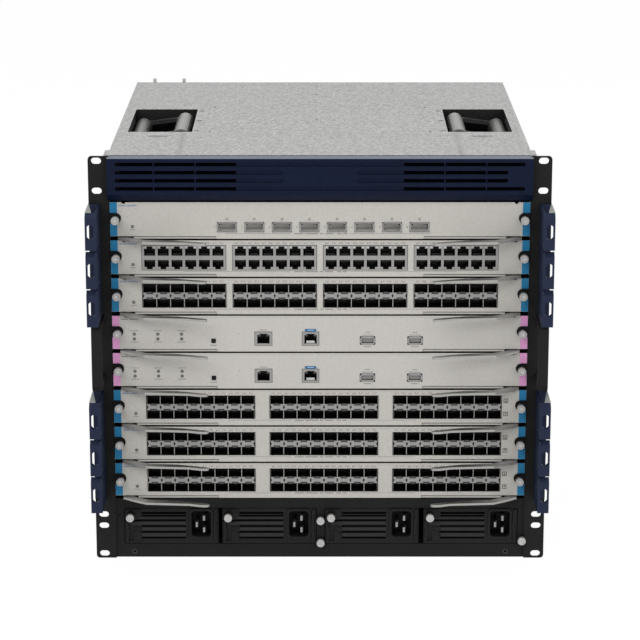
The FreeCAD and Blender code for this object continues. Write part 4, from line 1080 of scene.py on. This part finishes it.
def service_legends(z):
    """Bars for the print round the service ports."""
    bars = [legend(-63.8, -55.8, z + 24.6), legend(-116.0, -109.0, z + 7.8),
            print_bar(-86.0, -84.9, z + 19.4, z + 20.4), print_bar(-95.0, -94.0, z + 10.8, z + 11.5)]
    for x in FLAT_X:
        bars += [legend(x - half, x + half, z + h) for half, h in ((4.0, 6.3), (6.0, 19.0), (2.6, 22.0))]
    return bars


for n in CONTROL:
    z = card_base(n)
    service_jacks(n, z)
    on_card(n, "button", [turned(BUTTON, (BUTTON_X, FACE, z + BUTTON_Z), 24)], collar_black,
            "module_black", True)
    hook = on_face(oblong(*HOOK_X, *at(z, HOOK_Z)), 0.3, 0.6, 0.3)
    on_card(n, "jack_latch", [hook], lens, "port_metal")
    words = on_face(oblong(*WORDS_X, *at(z, WORDS_Z)), 0.22, -0.1)
    on_card(n, "pill_words", [words], pill_ink)
    pill = on_face(rounded(*PILL_X, *at(z, PILL_Z), PILL_CORNER), 0.15)
    on_card(n, "pill_label", [pill], pill_blue)
    on_card(n, "service_legends", service_legends(z), ink_pale)
    shells = [on_face(rounded(x - FLAT_HALF, x + FLAT_HALF, *at(z, FLAT_Z), 1.6), -1.3, 1.8, 0.3)
              for x in FLAT_X]
    on_card(n, "flat_port_shells", shells, flat_grey, "port_metal")
print("control cards", CONTROL)

# %% [markdown]
# ## Power bay
# The power units are black on black, so only relief and bright parts tell them apart.
# Their captive screws are the card screws again: one head on each unit, two on the post
# in the middle, and one with a longer neck on the right ear.

# %% Captive screws of the power bay
BAY_Z, BAY_TOP = 15.6, 55.2
UNIT_X = {1: -210.4, 2: -105.2, 3: 5.4, 4: 111.6}
UNIT_KNOB, UNIT_KNOB_OUT = (6.5, 6.7), 14.45
POST_X, POST_KNOB_OUT, POST_KNOB_Z = 0.6, 9.45, (BAY_Z + 2.7, BAY_TOP - 11.7)
EAR_SCREW = [(KNOB_R, 6.25)] + HEAD[3:7] + HEAD[-1:]
EAR_PLACE = (217.4, -9.15, 20.4)


on_unit = fitter("psu", "module_black")
for n, x0 in UNIT_X.items():
    head = knob(x0 + UNIT_KNOB[0], -UNIT_KNOB_OUT, BAY_TOP - UNIT_KNOB[1])
    on_unit(n, "screw_head", [head], nickel, "bare_steel", True)
posts = [knob(POST_X, -POST_KNOB_OUT, h) for h in POST_KNOB_Z]
put("post_screw_heads", gather(posts), "chassis", nickel, True)
put("ear_screw", turned(EAR_SCREW, EAR_PLACE, KNOB_SIDES, KNURL), "chassis", nickel, True)

# %% [markdown]
# ## Louvres, blades and latches
# The slats between the louvre slots catch the light from above, so each is a half round
# drawn along X.  The mains inlet shows three bright blades, and a small latch with two
# pits sits at the lower left.

# %% Relief of the power units
SLATS = ((7.4, 11.6), (14.0, 18.2), (20.6, 24.8), (27.2, 30.2))
SLAT_RISE, SHORT_SLATS = 1.4, 20.0
SLAT_X0, SLAT_X0_LONG, SLAT_X1 = 18.4, 7.0, 65.7
INLET_X, INLET_Z = 81.3, BAY_Z + 21.2
BLADE_WIDE, BLADE_HIGH, BLADE_DEPTH = 1.15, 2.75, (1.4, 3.0)
BLADES = ((-3.9, -0.6), (3.9, 6.6), (3.9, -6.6))
LATCH_X, LATCH_Z, PITS = (9.4, 17.6), (1.8, 18.6), ((11.7, 14.8), (15.6, 13.0))


def half_round(x0, x1, z0, z1, rise=SLAT_RISE, foot=0.02):
    """Closed slat: the front is y = -rise sin(pi t) with t from 0 to 1 up the slat."""
    t = np.linspace(0, 1, 8)
    section = np.column_stack([-foot - rise * np.sin(math.pi * t), z0 + t * (z1 - z0)])
    n = len(section)
    points = np.vstack([np.column_stack([np.full(n, x), section]) for x in (x0, x1)])
    i = np.arange(n - 1)
    faces = np.column_stack([i, n + i, n + i + 1, i + 1]).tolist()
    faces += [list(range(n)), (n + np.arange(n))[::-1].tolist(), [n - 1, 2 * n - 1, n, 0]]
    return points, faces


def blade(x, z):
    """Flat contact blade, its sharp edges broken."""
    shape = oblong(x - BLADE_WIDE, x + BLADE_WIDE, z - BLADE_HIGH, z + BLADE_HIGH)
    return plate(shape, *BLADE_DEPTH, 0.1)


for n, x0 in UNIT_X.items():
    slats = [half_round(x0 + (SLAT_X0 if a < SHORT_SLATS else SLAT_X0_LONG), x0 + SLAT_X1, BAY_Z + a,
                        BAY_Z + b) for a, b in SLATS]
    on_unit(n, "slats", slats, slat_grey)
    on_unit(n, "blades", [blade(x0 + INLET_X + dx, INLET_Z + dz) for dx, dz in BLADES], blade_metal,
            "bare_steel")
    cover = rounded(x0 + LATCH_X[0], x0 + LATCH_X[1], *at(BAY_Z, LATCH_Z), 0.8)
    on_unit(n, "latch", [plate(cover, -0.9, SEAT, 0.2)], module)
    # The latch pits are dark discs of painted shade.
    pits = [plate(disc(x0 + dx, BAY_Z + dz, 0.95, 10), -0.95, -0.6) for dx, dz in PITS]
    on_unit(n, "latch_pits", pits, dark)
print("slats per unit", len(SLATS))

# %% [markdown]
# ## Blind screws of the bottom rail
# Two black screws close the rail at its ends.  On black paint only the rim and the dark
# socket show, so a turned ring and a flat disc of painted shade for the socket make one.

# %% Ring screws
RING_SCREW = [(3.1, 0.1), (3.0, -0.35), (2.4, -0.5), (1.7, -0.3), (1.6, 0.1)]
RAIL_X, RAIL_Z = 200.4, 6.4
rings = [turned(RING_SCREW, (s * RAIL_X, 0.0, RAIL_Z), 20) for s in (-1, 1)]
put("rail_screws", gather(rings), "chassis", ring_black, True)
# The screw sockets and one more pit are dark discs of painted shade.
pits = [plate(disc(s * RAIL_X, RAIL_Z, 1.5, 12), -0.32, SEAT) for s in (-1, 1)]
pits += [plate(disc(-215.7, 48.1, 1.2, 10), -0.06, SEAT)]
put("rail_screw_pits", gather(pits), "chassis", dark)
print("rail screws", len(rings))

# %% [markdown]
# ## Small marks on the top sheet
# Rivets and short slots surround the handle wells, and an arch of painted shade marks the
# shallow dimple in front of each well.  They lie flat, so the outline is drawn in X and Y
# and lifted by a few hundredths of a millimetre above the sheet.

# %% Flat marks on top
TOP = SHEET_Z / MM
WELL_SLOTS = [(134.2, y, 2.4, 1.8) for y in (260.8, 200.4, 139.9)]
WELL_SLOTS += [(120.1, y, 1.4, 1.6) for y in (284.2, 134.9)]
RIVETS = ((200.0, 297.9), (154.5, 297.9), (215.0, 251.9), (215.0, 199.5), (215.2, 148.9))
ARC_X, ARC_Y, ARC_HALF, ARC_RISE = 175.4, 111.0, 11.3, 9.0


def lying(outline, rise):
    """A plate whose outline lies in X and Y: the upright plate with Y and Z exchanged."""
    points, faces = plate(outline, -TOP - rise, -TOP + ROOT)
    return np.column_stack([points[:, 0], points[:, 2], -points[:, 1]]), faces


def dimple_shade(s):
    """Flat arch of painted shade over the shallow dimple in front of a well: y = ARC_Y - ARC_RISE sin(pi
    t).
    """
    t = np.linspace(0, 1, 11)
    x = s * ARC_X - ARC_HALF + 2 * ARC_HALF * t
    return np.column_stack([x, ARC_Y - ARC_RISE * np.sin(math.pi * t)])


slots, rivets = [], []
for s in (-1, 1):
    slots += [lying(oblong(s * x - wide, s * x + wide, y - deep, y + deep), 0.03)
              for x, y, wide, deep in WELL_SLOTS]
    rivets += [lying(disc(s * x, y, 1.5, 10), 0.04) for x, y in RIVETS]
    rivets.append(lying(dimple_shade(s), 0.04))
put("top_slots", gather(slots), "chassis", slot_shadow)
put("top_rivets_and_dimple_shade", gather(rivets), "chassis", rivet_and_dimple_shade)
print("marks on top", len(slots), len(rivets))
